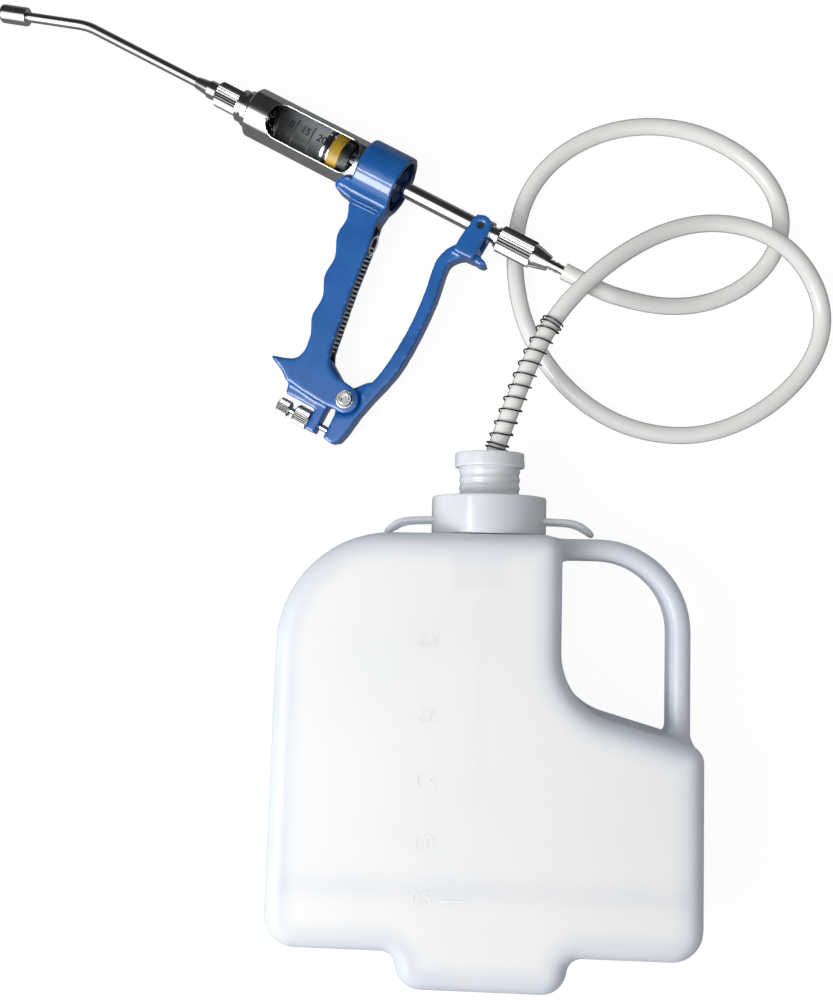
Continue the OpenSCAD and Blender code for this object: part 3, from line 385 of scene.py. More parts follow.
def rod(path, radius, count=8):
    """Points and faces of a solid round rod along a path, with domed ends."""
    dome, rise = 0.6 * radius, 0.35 * radius
    stations = [(0, dome, -rise)] + [(i, radius, 0.0) for i in range(len(path))] + [(-1, dome, rise)]
    last = (len(stations) - 1) * count
    faces = ring_faces(len(stations), count)
    faces.append(tuple(reversed(range(count))))
    faces.append(tuple(last + i for i in range(count)))
    return rings(path, stations, count), faces


def wire(name, path, radius):
    points, faces = rod(path, radius)
    return mesh_object(name, points * MM, faces)


def tube(name, path, outer, inner, count=28):
    """Open-ended hollow tube with rounded rims."""
    rim = 0.2 * (outer - inner)
    last = len(path) - 1
    stations = [(i, outer, 0.0) for i in range(len(path))]
    stations += [(last, outer - rim, rim), (last, inner + rim, rim)]
    stations += [(i, inner, 0.0) for i in reversed(range(len(path)))]
    stations += [(0, inner + rim, -rim), (0, outer - rim, -rim)]
    faces = ring_faces(len(stations), count)
    seam = (len(stations) - 1) * count
    for i in range(count):
        k = (i + 1) % count
        faces.append((seam + i, seam + k, k, i))
    return mesh_object(name, rings(path, stations, count) * MM, faces)


def helix(path, radius, turns_at, total, per_turn):
    """Helix about a path: turns_at maps 0..1 along the wire to 0..1 along the path."""
    ahead, u, v = carried_frames(path)
    steps = int(total * per_turn)
    lengths = np.concatenate([[0.0], np.cumsum(np.linalg.norm(np.diff(path, axis=0), axis=1))])
    out = []
    for k in range(steps + 1):
        s = turns_at(k / steps) * lengths[-1]
        i = min(np.searchsorted(lengths, s, side="right") - 1, len(path) - 2)
        t = (s - lengths[i]) / (lengths[i + 1] - lengths[i])
        c = path[i] * (1 - t) + path[i + 1] * t
        uu = u[i] * (1 - t) + u[i + 1] * t
        vv = v[i] * (1 - t) + v[i + 1] * t
        g = 2 * math.pi * k / per_turn
        out.append(c + radius * (math.cos(g) * uu + math.sin(g) * vv))
    return np.array(out)


# Gun's own frame: X back along the barrel, Y away from the handle
def turn_x(a):
    return np.array([[1, 0, 0], [0, math.cos(a), -math.sin(a)], [0, math.sin(a), math.cos(a)]])


def turn_y(a):
    return np.array([[math.cos(a), 0, math.sin(a)], [0, 1, 0], [-math.sin(a), 0, math.cos(a)]])


def turn_z(a):
    return np.array([[math.cos(a), -math.sin(a), 0], [math.sin(a), math.cos(a), 0], [0, 0, 1]])


GUN_TURN = turn_z(math.radians(-28.1)) @ turn_y(math.radians(-2.65)) @ turn_x(math.radians(4.13))
GUN_AT = np.array([-68.3, 323.6, 19.2967])


def gun(points):
    """Points of the gun's frame in the row frame, in millimetres."""
    return np.asarray(points, float).reshape(-1, 3) @ GUN_TURN.T + GUN_AT


# Hose: route of part.scad, carried on over the barb
HOSE_START = (3, 156.3, 39)
HOSE_RISE = (3, 158.3, 39)
HOSE_POINTS = [
    (6, 168, 40), (10, 178, 41), (14, 189, 41), (18, 200, 41), (23, 212, 41), (28, 223, 41),
    (34, 233, 41), (41, 243, 40), (50, 253, 38), (61, 264, 36), (76, 276, 31), (93, 287, 26),
    (111, 294, 22), (127, 297, 19), (143, 296, 17), (158, 291, 17), (172, 282, 16), (183, 270, 12),
    (191, 257, 8), (194, 243, 6), (192, 229, 5), (186, 216, 5), (175, 202, 5), (161, 190, 5),
    (144, 180, 5), (127, 174, 5), (110, 172, 5), (92, 174, 5), (75, 179, 5), (60, 187, 5),
    (46, 198, 5), (35, 210, 5), (25, 225, 5), (18, 240, 5), (14, 256, 5), (12, 273, 5),
    (12, 289, 5), (14, 305, 5), (20, 321, 5), (31, 336, 5), (45, 347, 5), (61, 355, 5),
    (77, 359, 5), (94, 360, 5), (110, 358, 5), (126, 353, 5), (141, 345, 5), (153, 336, 5),
    (163, 325, 5), (169, 313, 5), (171, 301, 5), (169, 288, 5), (164, 278, 5), (157, 269, 5),
    (148, 261, 5), (137, 255, 5), (122, 250, 6), (107, 248, 9), (92, 248, 14), (77, 250, 21)]
HOSE_R = 5.0
HOSE_BORE_R = 3.35
HOSE_STEP = 3.0
HOSE_LOWEST = 5.06
BARB_END = 132.9
BARB_ROOT = 124.0
BARB_LEAD = 16
hose_lead = gun([[BARB_END + BARB_LEAD, 0, 0], [BARB_END, 0, 0]])
hose_path = catmull([HOSE_START, HOSE_RISE, *HOSE_POINTS, *hose_lead], HOSE_STEP)
hose_path = calm(hose_path, passes=40, first=2, last=8)
hose_path[:, 2] = np.maximum(hose_path[:, 2], HOSE_LOWEST)
on_barb = gun([[x, 0, 0] for x in np.linspace(BARB_END - HOSE_STEP, BARB_ROOT, 6)])
hose_path = np.vstack([hose_path, on_barb])

hose = dress(tube("hose_tube", hose_path, HOSE_R, HOSE_BORE_R), LOOKS["clear_tube"])
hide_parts("hose")
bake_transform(hose)

# Kink guard on the hose
GUARD_END = (34.5, 234, 41)
GUARD_R = 6.2
GUARD_WIRE_R = 0.48
GUARD_TURNS = 14.0
END_TURNS = 2
CLOSED = 0.028
guard_stop = int(np.argmin(np.linalg.norm(hose_path - np.array(GUARD_END), axis=1)))
guard_line = hose_path[1:guard_stop + 1]


def guard_rise(t):
    """Share of the guard's length reached at a share of its wire, with closed turns at both ends."""
    turn = t * GUARD_TURNS
    open_rise = (1 - 2 * END_TURNS * CLOSED) / (GUARD_TURNS - 2 * END_TURNS)
    if turn < END_TURNS:
        return turn * CLOSED
    if turn > GUARD_TURNS - END_TURNS:
        return 1 - (GUARD_TURNS - turn) * CLOSED
    return END_TURNS * CLOSED + (turn - END_TURNS) * open_rise


guard_coil = helix(guard_line, GUARD_R, guard_rise, GUARD_TURNS, per_turn=28)
guard = wire("hose_guard_spring", guard_coil, GUARD_WIRE_R)
dress(guard, DARK_STEEL)
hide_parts("hose_spring")
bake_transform(guard)


# Springs of the gun
def coil_line(a, b, radius, turns, leg, per_turn=24):
    """Coil between two points with a straight leg at each end."""
    a, b = np.array(a, float), np.array(b, float)
    t = (b - a) / np.linalg.norm(b - a)
    side = np.array([0.0, 0.0, 1.0])
    u = side - (side @ t) * t
    u /= np.linalg.norm(u)
    v = np.cross(t, u)
    length = np.linalg.norm(b - a) - 2 * leg
    n = int(turns * per_turn)
    out = [a, a + t * leg * 0.5]
    for k in range(n + 1):
        g = 2 * math.pi * k / per_turn
        s = min(1.0, 2 * k / per_turn, 2 * (n - k) / per_turn)
        out.append(a + t * (leg + length * k / n) + s * radius * (math.cos(g) * u + math.sin(g) * v))
    out += [b - t * leg * 0.5, b]
    return np.array(out)


def gun_spring(name, node, a, b, radius, turns, leg, thick):
    line = gun(coil_line(a, b, radius, turns, leg))
    piece = dress(wire(name, line, thick / 2), BRIGHT_WIRE)
    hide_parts(node)
    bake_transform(piece)


def toward(a, b, d):
    """Point at a distance from a on the way to b."""
    a, b = np.array(a, float), np.array(b, float)
    return a + (b - a) * d / np.linalg.norm(b - a)


PIVOT = (48, -126)
ANCHOR = (14.2, -32.5, 0)
ARM_TIP = (PIVOT[0] - 21.7, PIVOT[1] + 13.5, 0)
gun_spring("lever_return_spring", "return_spring",
           toward(ANCHOR, ARM_TIP, 1.52), toward(ARM_TIP, ANCHOR, 3.52),
           radius=2.15, turns=25, leg=4.0, thick=0.9)
gun_spring("outlet_valve_spring", "outlet_spring", (-104.48, 0, 0), (-95.98, 0, 0),
           radius=2.4, turns=5, leg=0.6, thick=0.6)
gun_spring("inlet_valve_spring", "inlet_spring", (79.02, 0, 0), (85.42, 0, 0),
           radius=3.0, turns=5, leg=0.6, thick=0.6)


# Bottle, from distance fields joined with soft fillets
def rounded_outline(corners, steps=14):
    """Dense outline of corners (x, y, radius), counter-clockwise."""
    out = []
    m = len(corners)
    for i in range(m):
        p, r = np.array(corners[i][:2], float), corners[i][2]
        a = p - np.array(corners[i - 1][:2], float)
        b = np.array(corners[(i + 1) % m][:2], float) - p
        a, b = a / np.linalg.norm(a), b / np.linalg.norm(b)
        turn = math.atan2(a[0] * b[1] - a[1] * b[0], a @ b)
        s = math.copysign(1.0, turn)
        u, w = np.array([a[1], -a[0]]), np.array([b[1], -b[0]])
        centre = p - s * r * (u + w) / (1 + u @ w)
        start = math.atan2(u[1], u[0])
        for k in range(steps + 1):
            g = start + turn * k / steps
            out.append(centre + s * r * np.array([math.cos(g), math.sin(g)]))
    return np.array(out)


def outline_distance(outline, x, y):
    """Signed distance of points to a closed outline, negative inside."""
    px, py = x.ravel(), y.ravel()
    best = np.full(px.shape, 1e9)
    odd = np.zeros(px.shape, bool)
    for a, b in zip(outline, np.roll(outline, -1, axis=0)):
        e = b - a
        ee = e @ e
        if ee < 1e-12:
            continue
        t = np.clip(((px - a[0]) * e[0] + (py - a[1]) * e[1]) / ee, 0, 1)
        best = np.minimum(best, (px - a[0] - t * e[0]) ** 2 + (py - a[1] - t * e[1]) ** 2)
        crosses = (a[1] > py) != (b[1] > py)
        if e[1] != 0:
            odd ^= crosses & (px < a[0] + e[0] * (py - a[1]) / e[1])
    d = np.sqrt(best)
    return np.where(odd, -d, d).reshape(x.shape)


def slab_distance(flat, z, mid, half, edge):
    """Distance to an outline's slab whose edges are rounded."""
    qx = flat[:, :, None] + edge
    qz = (np.abs(z - mid) - half + edge)[None, None, :]
    return np.minimum(np.maximum(qx, qz), 0) + np.hypot(np.maximum(qx, 0), np.maximum(qz, 0)) - edge


def soft_union(a, b, k):
    """Union of two fields with a fillet about k wide."""
    h = np.maximum(k - np.abs(a - b), 0) / k
    return np.minimum(a, b) - h * h * k * 0.25


def net(field, low, step):
    """Smooth mesh of the zero level of a field, one point per crossed cell."""
    inside = field < 0
    shape = np.array(field.shape) - 1
    total = np.zeros((*shape, 3))
    count = np.zeros(shape)
    corner = [np.array(c) for c in np.ndindex(2, 2, 2)]
    for a in corner:
        for axis in range(3):
            if a[axis]:
                continue
            b = a.copy()
            b[axis] = 1
            fa = field[a[0]:a[0] + shape[0], a[1]:a[1] + shape[1], a[2]:a[2] + shape[2]]
            fb = field[b[0]:b[0] + shape[0], b[1]:b[1] + shape[1], b[2]:b[2] + shape[2]]
            hit = (fa < 0) != (fb < 0)
            t = np.where(hit, fa / np.where(hit, fa - fb, 1.0), 0.0)
            for d in range(3):
                total[..., d] += np.where(hit, a[d] + (t if d == axis else 0.0), 0.0)
            count += hit
    cells = np.argwhere(count > 0)
    number = np.full(shape, -1)
    number[tuple(cells.T)] = np.arange(len(cells))
    points = np.asarray(low) + step * (cells + total[tuple(cells.T)] / count[tuple(cells.T)][:, None])
    faces = []
    for axis in range(3):
        o1, o2 = (axis + 1) % 3, (axis + 2) % 3
        lo = [slice(None)] * 3
        hi = [slice(None)] * 3
        lo[axis], hi[axis] = slice(0, -1), slice(1, None)
        change = inside[tuple(lo)] != inside[tuple(hi)]
        at = np.argwhere(change)
        at = at[(at[:, o1] > 0) & (at[:, o2] > 0) & (at[:, o1] < shape[o1]) & (at[:, o2] < shape[o2])]
        outward = inside[tuple(at.T)]
        quad = []
        for s1, s2 in ((1, 1), (0, 1), (0, 0), (1, 0)):
            c = at.copy()
            c[:, o1] -= s1
            c[:, o2] -= s2
            quad.append(number[tuple(c.T)])
        quad = np.stack(quad, axis=1)
        quad[~outward] = quad[~outward][:, ::-1]
        faces.append(quad)
    return points, np.vstack(faces)


BOTTLE_T = 78.0
MID = BOTTLE_T / 2
BOTTLE_EDGE = 9.0
BODY = [
    (-115, -110, 17), (-46, -110, 7.65), (-46 + 19 / 6, -129, 13.6), (46 - 19 / 6, -129, 13.6),
    (46, -110, 7.65), (115, -110, 17), (115, -1, 9.5), (40, -1 + 21.375, 36), (40, 110, 9.5),
    (-115 + 2.99, 110, 62)]
GRIP = [
    (110.7, -10, 5.3), (110.7, 109.2, 50), (31, 109.2, 5.3), (31, 97.7, 5.3), (99.2, 97.7, 38.5),
    (99.2, -10, 5.3)]
GRIP_HALF = 15.0
GRIP_EDGE = 5.6
GRIP_FILLET = 5.0
NECK_R = 24.0
NECK_MID = 116.0
NECK_HALF = 10.0
NECK_FILLET = 1.5
GRID_LOW = (-118.0, -132.0, -3.0)
GRID_HIGH = (118.5, 129.5, 81.5)
GRID_STEP = 1.6


def bottle_mesh():
    x, y, z = [np.arange(low, high, GRID_STEP) for low, high in zip(GRID_LOW, GRID_HIGH)]
    gx, gy = np.meshgrid(x, y, indexing="ij")
    flat = outline_distance(rounded_outline(BODY), gx, gy)
    grip = outline_distance(rounded_outline(GRIP), gx, gy)
    field = slab_distance(flat, z, MID, MID, BOTTLE_EDGE)
    field = soft_union(field, slab_distance(grip, z, MID, GRIP_HALF, GRIP_EDGE), GRIP_FILLET)
    radial = np.hypot(gx[:, :, None], z[None, None, :] - MID) - NECK_R
    ends = (np.abs(gy - NECK_MID) - NECK_HALF)[:, :, None]
    field = soft_union(field, np.maximum(radial, ends), NECK_FILLET)
    points, faces = net(field, GRID_LOW, GRID_STEP)
    obj = mesh_object("bottle_shell", points * MM, faces)
    # Painted shade of the walls, kept in the depth attribute.
    layer = obj.data.attributes.new("depth", "FLOAT", "POINT")
    layer.data.foreach_set("value", painted_wall_shading(points).astype(np.float32))
    return obj


def bell(value, middle, width):
    return np.exp(-((value - middle) / width) ** 2)


def tent(value, middle, width):
    return np.clip(1 - np.abs(value - middle) / width, 0, 0.4)


def painted_wall_shading(points):
    """Painted shade: how much white shows, less at the walls, low band, neck's skirt and dip tube."""
    inset = -outline_distance(rounded_outline(BODY), points[:, 0], points[:, 1])
    depth = np.clip((inset - 3.0) / 16.0, 0, 1)
    depth = depth * depth * (3 - 2 * depth)
    across, up, near = points[:, 0], points[:, 1], points[:, 2] > MID
    # Painted shade seen through the front wall: a low band, the neck's skirt and the dip tube's shadow.
    low_band_shade = 0.30 * bell(up, -76.0, 6.5)
    skirt = 1.4 * tent(across, -3.5, 18.0) * tent(up, 90.0, 12.0)
    dip_tube_shadow = (np.abs(up) < 78.0) * 0.08 * bell(across, -2.8, 3.2)
    return np.clip(depth - near * (low_band_shade + skirt + dip_tube_shadow), 0, 1)


bottle = dress(bottle_mesh(), BOTTLE_LOOK)
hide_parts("bottle")
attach(bottle, "base")


# CAD nodes that stay: the look of the record's slot, or one of their own
slots = {s["node"]: s["material_slot"] for s in frame["record"]["subparts"]}
OWN_LOOKS = {
    "rod_gland": PAINTED_SHADE_BLUE,
    "link_pins": DARK_STEEL,
    "dose_knob": WORN_CHROME,
    "dose_lock_nut": WORN_CHROME,
}
for name, obj in frame["nodes"].items():
    obj.data.materials.clear()
    obj.data.materials.append(OWN_LOOKS.get(name, LOOKS[slots[name]]))


# Castings and mouldings: copies of the solids with rounded edges
WELD = 0.000002
POCKET_HALF = 6.0
POCKET_SHARES = [(0.055, -0.20), (0.143, -0.82), (0.152, -0.90), (0.27, -0.84), (0.18, -0.20)]
POCKET = np.array(POCKET_SHARES) * -PIVOT[1]
RING_REAR = 15.5
RING_R = 18.5
RING_BORE = 15.1
RECESS_DEEP = 7.0
REAR_SHADE = 0.7
SKIN = 0.4


def recess_shade(points):
    """Painted shade: dark inside the spring's channel, half dark in the ring's rear recess."""
    x, y, z = ((points - GUN_AT) @ GUN_TURN).T
    channel = (outline_distance(POCKET, x, y) < 0.5) & (np.abs(z) < POCKET_HALF + SKIN)
    away = np.hypot(y, z)
    rear = (x > RING_REAR - SKIN) | (away < RING_BORE + SKIN)
    rear &= (x > RING_REAR - RECESS_DEEP) & (away < RING_R + 0.5)
    return np.maximum(channel, REAR_SHADE * rear)


def casting(name, node, body, voxel, rounds, added=None, shade=None):
    """Copy of a solid, joined with added rods, remeshed and evened out, in place of its node."""
    slot_name = slots[node]
    mesh = frame["nodes"][node].data.copy()
    mesh.name = name
    obj = bpy.data.objects.new(name, mesh)
    scene.collection.objects.link(obj)
    work = bmesh.new()
    work.from_mesh(mesh)
    bmesh.ops.remove_doubles(work, verts=work.verts, dist=WELD)
    if added:
        corners = [work.verts.new(Vector(p) * MM) for p in added[0]]
        for face in added[1]:
            work.faces.new([corners[i] for i in face])
    work.to_mesh(mesh)
    work.free()
    mod = obj.modifiers.new("remesh", "REMESH")
    mod.mode = "VOXEL"
    mod.voxel_size = voxel
    mod.use_smooth_shade = True
    even = obj.modifiers.new("even", "SMOOTH")
    even.factor = 0.5
    even.iterations = rounds
    graph = bpy.context.evaluated_depsgraph_get()
    done = bpy.data.meshes.new_from_object(obj.evaluated_get(graph))
    obj.modifiers.clear()
    obj.data = done
    obj.data.name = name
    if shade:
        # Painted shade of the channel and the rear recess, kept in the recess attribute.
        value = shade(np.array([v.co for v in done.vertices]) / MM)
        layer = done.attributes.new("recess", "FLOAT", "POINT")
        layer.data.foreach_set("value", value.astype(np.float32))
    dress(obj, LOOKS[slot_name])
    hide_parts(node)
    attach(obj, body)


casting("handle_casting", "grip_handle", "base", voxel=0.0007, rounds=12, shade=recess_shade)
casting("lever_casting", "squeeze_lever", "lever", voxel=0.0007, rounds=12)


# Cap: collar, spigot and the bent wires for the strap
LOOP_HALF = 10.8
LOOP_WIRE_R = 1.55
LOOP_STEPS = 30
LOOP_SIDE = [
    (28.6, 118.7, 0), (37.0, 118.5, 0), (45.0, 118.0, 0),
    (50.0, 116.6, 0), (54.0, 114.2, 0), (57.0, 111.8, 0)]
SOCKET_AT = (118.04, MID)
SOCKET_OFF = (3.69, 10.15)
SOCKET_RUN = (28.2, 29.0, 29.9)
PLUG_R = 1.85


def gather(parts):
    """One list of points and one of faces from several."""
    points, faces, start = [], [], 0
    for p, f in parts:
        points.append(p)
        faces += [tuple(i + start for i in face) for face in f]
        start += len(p)
    return np.vstack(points), faces


def plugs():
    """Short rods that close the collar's leaned sockets."""
    parts = []
    for side in (-1, 1):
        for k in (-1, 1):
            y, z = SOCKET_AT[0] + SOCKET_OFF[0] * k, SOCKET_AT[1] + SOCKET_OFF[1] * k
            parts.append(rod(np.array([(side * x, y, z) for x in SOCKET_RUN]), PLUG_R, 12))
    return gather(parts)


def strap_wires():
    """Two wire loops that run level from the collar and bend down to the shoulder."""
    bend = catmull(LOOP_SIDE, 0.5)
    along = np.concatenate([[0.0], np.cumsum(np.linalg.norm(np.diff(bend, axis=0), axis=1))])
    leg = np.linspace(0, along[-1] - LOOP_HALF, LOOP_STEPS)
    turn = np.linspace(0, math.pi, 41)[1:-1]
    run = np.concatenate([leg, leg[-1] + LOOP_HALF * np.sin(turn), leg[::-1]])
    straight = np.full(LOOP_STEPS, LOOP_HALF)
    off = np.concatenate([straight, LOOP_HALF * np.cos(turn), -straight])
    line = np.column_stack([np.interp(run, along, bend[:, 0]), np.interp(run, along, bend[:, 1]), MID + off])
    points, faces = gather([rod(line * (side, 1, 1), LOOP_WIRE_R, 14) for side in (1, -1)])
    piece = dress(mesh_object("strap_wires", points * MM, faces), LOOKS["milky_plastic"])
    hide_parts("strap_loops")
    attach(piece, "base")


casting("collar_moulding", "neck_collar", "base", voxel=0.0007, rounds=5, added=plugs())
casting("spigot_moulding", "fill_spigot", "fill_spigot", voxel=0.0006, rounds=3)
strap_wires()


# Raised lines, rings and hook of the gun
def gun_line(name, points, radius, look):
    piece = dress(wire(name, gun(catmull(points, 0.6)), radius), look)
    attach(piece, "base")


def loop(centre, half, turned):
    """Closed oval in the plane of the handle's face."""
    a = np.linspace(0, 2 * math.pi, 40)
    x, y = half[0] * np.cos(a), half[1] * np.sin(a)
    c, t = math.cos(turned), math.sin(turned)
    return [(centre[0] + c * p - t * q, centre[1] + t * p + c * q, centre[2]) for p, q in zip(x, y)]


FACE = 9.0
RIB_R = 0.6
RIB_UPPER = [(-5.3, -20.5, FACE), (3.0, -20.3, FACE), (11.6, -20.1, FACE)]
RIB_LOWER = [(-4.3, -22.8, FACE), (3.4, -22.5, FACE), (11.1, -22.3, FACE)]
WASHER = loop((*PIVOT, FACE + 0.35), (5.0, 5.0), 0.0)
HEAD_EDGE = loop((*PIVOT, FACE + 2.4), (2.9, 2.9), 0.0)
HOOK = loop((17.6, -38.4, 3.0), (1.9, 6.0), math.radians(8))
gun_line("handle_rib_upper", RIB_UPPER, RIB_R, LOOKS["blue_paint"])
gun_line("handle_rib_lower", RIB_LOWER, RIB_R, LOOKS["blue_paint"])
gun_line("pivot_washer", WASHER, 0.55, LOOKS["chrome"])
gun_line("pivot_head_edge", HEAD_EDGE, 0.35, LOOKS["chrome"])
gun_line("spring_hook", HOOK, 0.45, BRIGHT_WIRE)


# Volume scale on the glass, its backing and the window's rim
GLASS_R = 13.62
SCALE_LABELS = ("20", "15", "10", "5")
SCALE_FIRST = -33.0
SCALE_STEP = 11.05
LINE_W = 0.75
LINE_ANGLES = (-70, 26)
LABEL_BACK = 4.6
LABEL_ANGLE = 5.0
BACKING_RADII = (13.66, 13.76)
BACKING_RUN = (-79.0, -9.0)
BACKING_ANGLES = (62.0, 298.0)
WINDOW_MID = -43.5
WINDOW_TURN = -1.0
WINDOW_HALF = (30.2, 10.7)
WINDOW_CORNER = 8.2
SLEEVE_R = 15.0
RIM_AT_R = 14.85
RIM_WIRE_R = 0.5
MARKS = [("2.5", 52.6), ("2.0", 12.9), ("1.5", -21.3), ("1.0", -52.1), ("0.5", -80.8)]
MARKS_X = -31.0
BAR_AT = (-15.5, -81.5)
BAR_OUTLINE = [(-6, -0.45), (6, -0.45), (6.4, 0), (6, 0.45), (-6, 0.45), (-6.4, 0)]


def on_barrel(x, angle, radius):
    """Places on the barrel; the angle in degrees runs from the near side up."""
    a = np.radians(angle)
    return gun(np.stack([x, radius * np.sin(a), radius * np.cos(a)], axis=-1))


def letters(text, size, depth, weight=0.0):
    """Corner points and faces of a raised number, centred on its own middle."""
    data = bpy.data.curves.new("letters", "FONT")
    data.body = text
    data.size = size
    data.offset = weight
    data.extrude = depth / 2
    data.align_x = "CENTER"
    data.align_y = "CENTER"
    obj = bpy.data.objects.new("letters", data)
    scene.collection.objects.link(obj)
    graph = bpy.context.evaluated_depsgraph_get()
    mesh = bpy.data.meshes.new_from_object(obj.evaluated_get(graph))
    points = np.array([v.co for v in mesh.vertices])
    faces = [tuple(f.vertices) for f in mesh.polygons]
    bpy.data.objects.remove(obj)
    bpy.data.curves.remove(data)
    bpy.data.meshes.remove(mesh)
    return points, faces


def arc_line(x, width, low, high, bottom, top, steps=30):
    """Thin bar round the barrel between two angles."""
    angles = np.linspace(low, high, steps)
    corners = [(-width / 2, bottom), (width / 2, bottom), (width / 2, top), (-width / 2, top)]
    points = np.vstack([on_barrel(np.full(steps, x + dx), angles, r) for dx, r in corners])
    faces = []
    for j in range(4):
        k = (j + 1) % 4
        a, b = j * steps, k * steps
        faces += [(a + i, a + i + 1, b + i + 1, b + i) for i in range(steps - 1)]
    faces += [(0, steps, 2 * steps, 3 * steps), (4 * steps - 1, 3 * steps - 1, 2 * steps - 1, steps - 1)]
    return points, faces


def dose_scale():
    """Lines and numbers of the scale on the glass."""
    parts = []
    for k, label in enumerate(SCALE_LABELS):
        line = SCALE_FIRST - SCALE_STEP * k
        parts.append(arc_line(line, LINE_W, *LINE_ANGLES, GLASS_R + 0.01, GLASS_R + 0.07))
        p, f = letters(label, size=6.2, depth=0.06, weight=0.12)
        angle = LABEL_ANGLE + np.degrees(p[:, 1] / GLASS_R)
        parts.append((on_barrel(line - LABEL_BACK + p[:, 0], angle, GLASS_R + 0.04 + p[:, 2]), f))
    points, faces = gather(parts)
    obj = dress(mesh_object("dose_scale", points * MM, faces, smooth=False), INK)
    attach(obj, "base")


def backing():
    """Grey backing between the glass and the sleeve's far half, painted shade darker to the front."""
    columns, rows = 41, 49
    x = np.linspace(*BACKING_RUN, rows)
    angles = np.linspace(*BACKING_ANGLES, columns)
    points = np.vstack([on_barrel(np.full(columns, v), angles, r) for r in BACKING_RADII for v in x])
    total = rows * columns
    starts = [j * columns + i for j in range(rows - 1) for i in range(columns - 1)]
    quads = [(s, s + 1, s + columns + 1, s + columns) for s in starts]
    rim = [j * columns for j in range(rows)] + [(rows - 1) * columns + i for i in range(1, columns)]
    rim += [j * columns + columns - 1 for j in reversed(range(rows - 1))]
    rim += list(reversed(range(1, columns - 1)))
    faces = quads + [tuple(total + i for i in reversed(f)) for f in quads]
    faces += [(a, b, total + b, total + a) for a, b in zip(rim, rim[1:] + rim[:1])]
    obj = dress(mesh_object("sleeve_backing", points * MM, faces), WINDOW_PAINTED_SHADE)
    run = np.tile(np.repeat((x - x[0]) / (x[-1] - x[0]), columns), 2)
    layer = obj.data.attributes.new("run", "FLOAT", "POINT")
    layer.data.foreach_set("value", run.astype(np.float32))
    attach(obj, "base")


def window_rim():
    """Raised rim along the edge of the near window."""
    w, h = WINDOW_HALF
    corners = [(x, y, WINDOW_CORNER) for x, y in ((-w, -h), (w, -h), (w, h), (-w, h))]
    outline = rounded_outline(corners, 10)
    outline = np.vstack([outline, outline[:1]])
    ring = catmull(np.column_stack([outline, np.zeros(len(outline))]), 1.0)
    side = np.degrees(np.arcsin(ring[:, 1] / SLEEVE_R))
    path = on_barrel(WINDOW_MID + ring[:, 0], WINDOW_TURN + side, RIM_AT_R)
    piece = dress(wire("sleeve_window_rim", path, RIM_WIRE_R), LOOKS["chrome"])
    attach(piece, "base")


def bottle_marks():
    """Faint raised volume marks and the bar beside the lowest one."""
    parts = []
    for label, y in MARKS:
        p, f = letters(label, size=9.5, depth=0.3)
        parts.append((p + (MARKS_X, y, BOTTLE_T), f))
    bar = np.array([(x, y, z) for z in (-0.4, 0.25) for x, y in BAR_OUTLINE])
    bar_faces = [(5, 4, 3, 2, 1, 0), (6, 7, 8, 9, 10, 11)]
    bar_faces += [(i, (i + 1) % 6, 6 + (i + 1) % 6, 6 + i) for i in range(6)]
    parts.append((bar + (*BAR_AT, BOTTLE_T), bar_faces))
    points, faces = gather(parts)
    obj = dress(mesh_object("bottle_marks", points * MM, faces, smooth=False), MARK_WHITE)
    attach(obj, "base")


dose_scale()
backing()
window_rim()
bottle_marks()


# Floor, light and background
FLOOR_HALF = 6.0
FLOOR_DROP = 0.0002


def stage():
    """Pale floor that keeps the object's shadow and looks white to the camera."""
    mesh = bpy.data.meshes.new("floor")
    r = FLOOR_HALF
    mesh.from_pydata([(-r, -r, 0), (r, -r, 0), (r, r, 0), (-r, r, 0)], [], [(0, 1, 2, 3)])
    obj = bpy.data.objects.new("floor", mesh)
    scene.collection.objects.link(obj)
    obj.location.z = -FLOOR_DROP
    mat, tree, shader = new_material("floor_white")
    put(shader, Base_Color=(0.86, 0.86, 0.86, 1), Roughness=0.9, Specular_IOR_Level=0.1)
    path = tree.nodes.new("ShaderNodeLightPath")

    def over(below, fac, strength):
        light = tree.nodes.new("ShaderNodeEmission")
        light.inputs["Strength"].default_value = strength
        mix = tree.nodes.new("ShaderNodeMixShader")
        tree.links.new(fac, mix.inputs["Fac"])
        tree.links.new(below, mix.inputs[1])
        tree.links.new(light.outputs[0], mix.inputs[2])
        return mix.outputs[0]

    seen = tree.nodes.new("ShaderNodeMath")
    seen.operation = "MAXIMUM"
    tree.links.new(path.outputs["Is Camera Ray"], seen.inputs[0])
    tree.links.new(path.outputs["Is Transmission Ray"], seen.inputs[1])
    part = tree.nodes.new("ShaderNodeMath")
    part.operation = "MULTIPLY"
    part.inputs[1].default_value = 0.88
    tree.links.new(seen.outputs[0], part.inputs[0])
    white = over(shader.outputs[0], part.outputs[0], 1.06)
    result = over(white, path.outputs["Is Glossy Ray"], 0.16)
    tree.links.new(result, tree.nodes["Material Output"].inputs["Surface"])
    mesh.materials.append(mat)


def area(name, place, aim, along, size, power):
    """Rectangular lamp, its first side along the given direction."""
    data = bpy.data.lights.new(name, "AREA")
    data.shape = "RECTANGLE"
    data.size, data.size_y = size
    data.energy = power
    obj = bpy.data.objects.new(name, data)
    back = (Vector(place) - Vector(aim)).normalized()
    side = Vector(along)
    side = (side - back * side.dot(back)).normalized()
    turn = Matrix((side, back.cross(side), back)).transposed().to_4x4()
    turn.translation = place
    obj.matrix_world = turn
    scene.collection.objects.link(obj)


EVEN_STOPS = [(0.25, 0.27), (0.55, 0.40), (0.80, 0.54), (1.0, 0.60)]
MIRROR_STOPS = [(0.0, 0.03), (0.70, 0.03), (0.80, 0.07), (0.85, 0.22), (0.88, 1.1), (1.0, 1.2)]


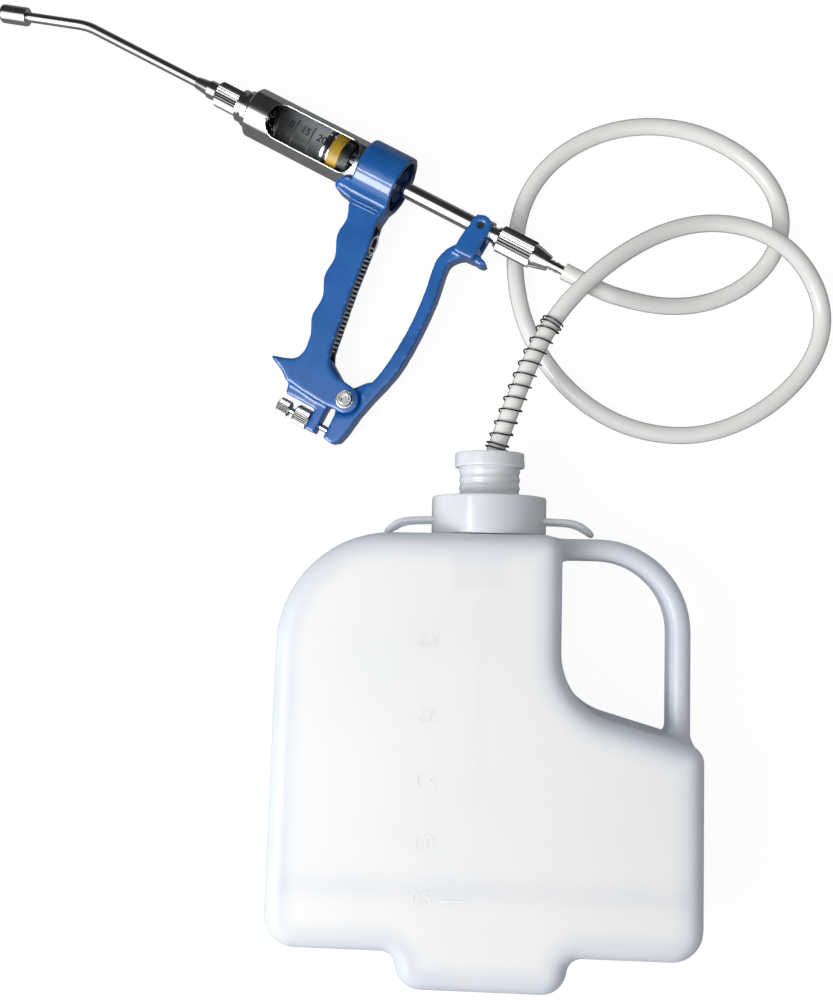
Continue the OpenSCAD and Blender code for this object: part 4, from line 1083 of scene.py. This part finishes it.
def world():
    """Even light for surfaces, bright and dark zones in mirror images, white behind all."""
    w = bpy.data.worlds.new("world")
    scene.world = w
    w.use_nodes = True
    tree = w.node_tree
    coord = tree.nodes.new("ShaderNodeTexCoord")

    def zones(shader, toward, stops):
        dot = tree.nodes.new("ShaderNodeVectorMath")
        dot.operation = "DOT_PRODUCT"
        dot.inputs[1].default_value = Vector(toward).normalized()
        tree.links.new(coord.outputs["Generated"], dot.inputs[0])
        height = spread(tree, dot.outputs["Value"], 0.0, 1.0, -1.0, 1.0)
        tree.links.new(shades(tree, height, [(p, (v, v, v)) for p, v in stops]), shader.inputs["Color"])

    even = tree.nodes["Background"]
    zones(even, (-0.75, -0.10, 0.65), EVEN_STOPS)
    mirror = tree.nodes.new("ShaderNodeBackground")
    zones(mirror, (-0.33, -0.62, 0.71), MIRROR_STOPS)
    path = tree.nodes.new("ShaderNodeLightPath")
    fac = tree.nodes.new("ShaderNodeMath")
    fac.operation = "MAXIMUM"
    tree.links.new(path.outputs["Is Glossy Ray"], fac.inputs[0])
    tree.links.new(path.outputs["Is Transmission Ray"], fac.inputs[1])
    mix = tree.nodes.new("ShaderNodeMixShader")
    tree.links.new(fac.outputs[0], mix.inputs["Fac"])
    tree.links.new(even.outputs[0], mix.inputs[1])
    tree.links.new(mirror.outputs[0], mix.inputs[2])
    backdrop = tree.nodes.new("ShaderNodeBackground")
    backdrop.inputs["Color"].default_value = (1, 1, 1, 1)
    seen = tree.nodes.new("ShaderNodeMixShader")
    tree.links.new(path.outputs["Is Camera Ray"], seen.inputs["Fac"])
    tree.links.new(mix.outputs[0], seen.inputs[1])
    tree.links.new(backdrop.outputs[0], seen.inputs[2])
    tree.links.new(seen.outputs[0], tree.nodes["World Output"].inputs["Surface"])


stage()
world()
BARREL = (0.88, -0.47, 0.0)
BARREL_AT = (-0.068, 0.324, 0.02)
area("high", (-0.595, 0.05, 1.078), BARREL_AT, BARREL, size=(0.60, 0.12), power=1.8)
area("low", (-0.765, -0.271, 0.79), BARREL_AT, BARREL, size=(0.60, 0.50), power=8.0)
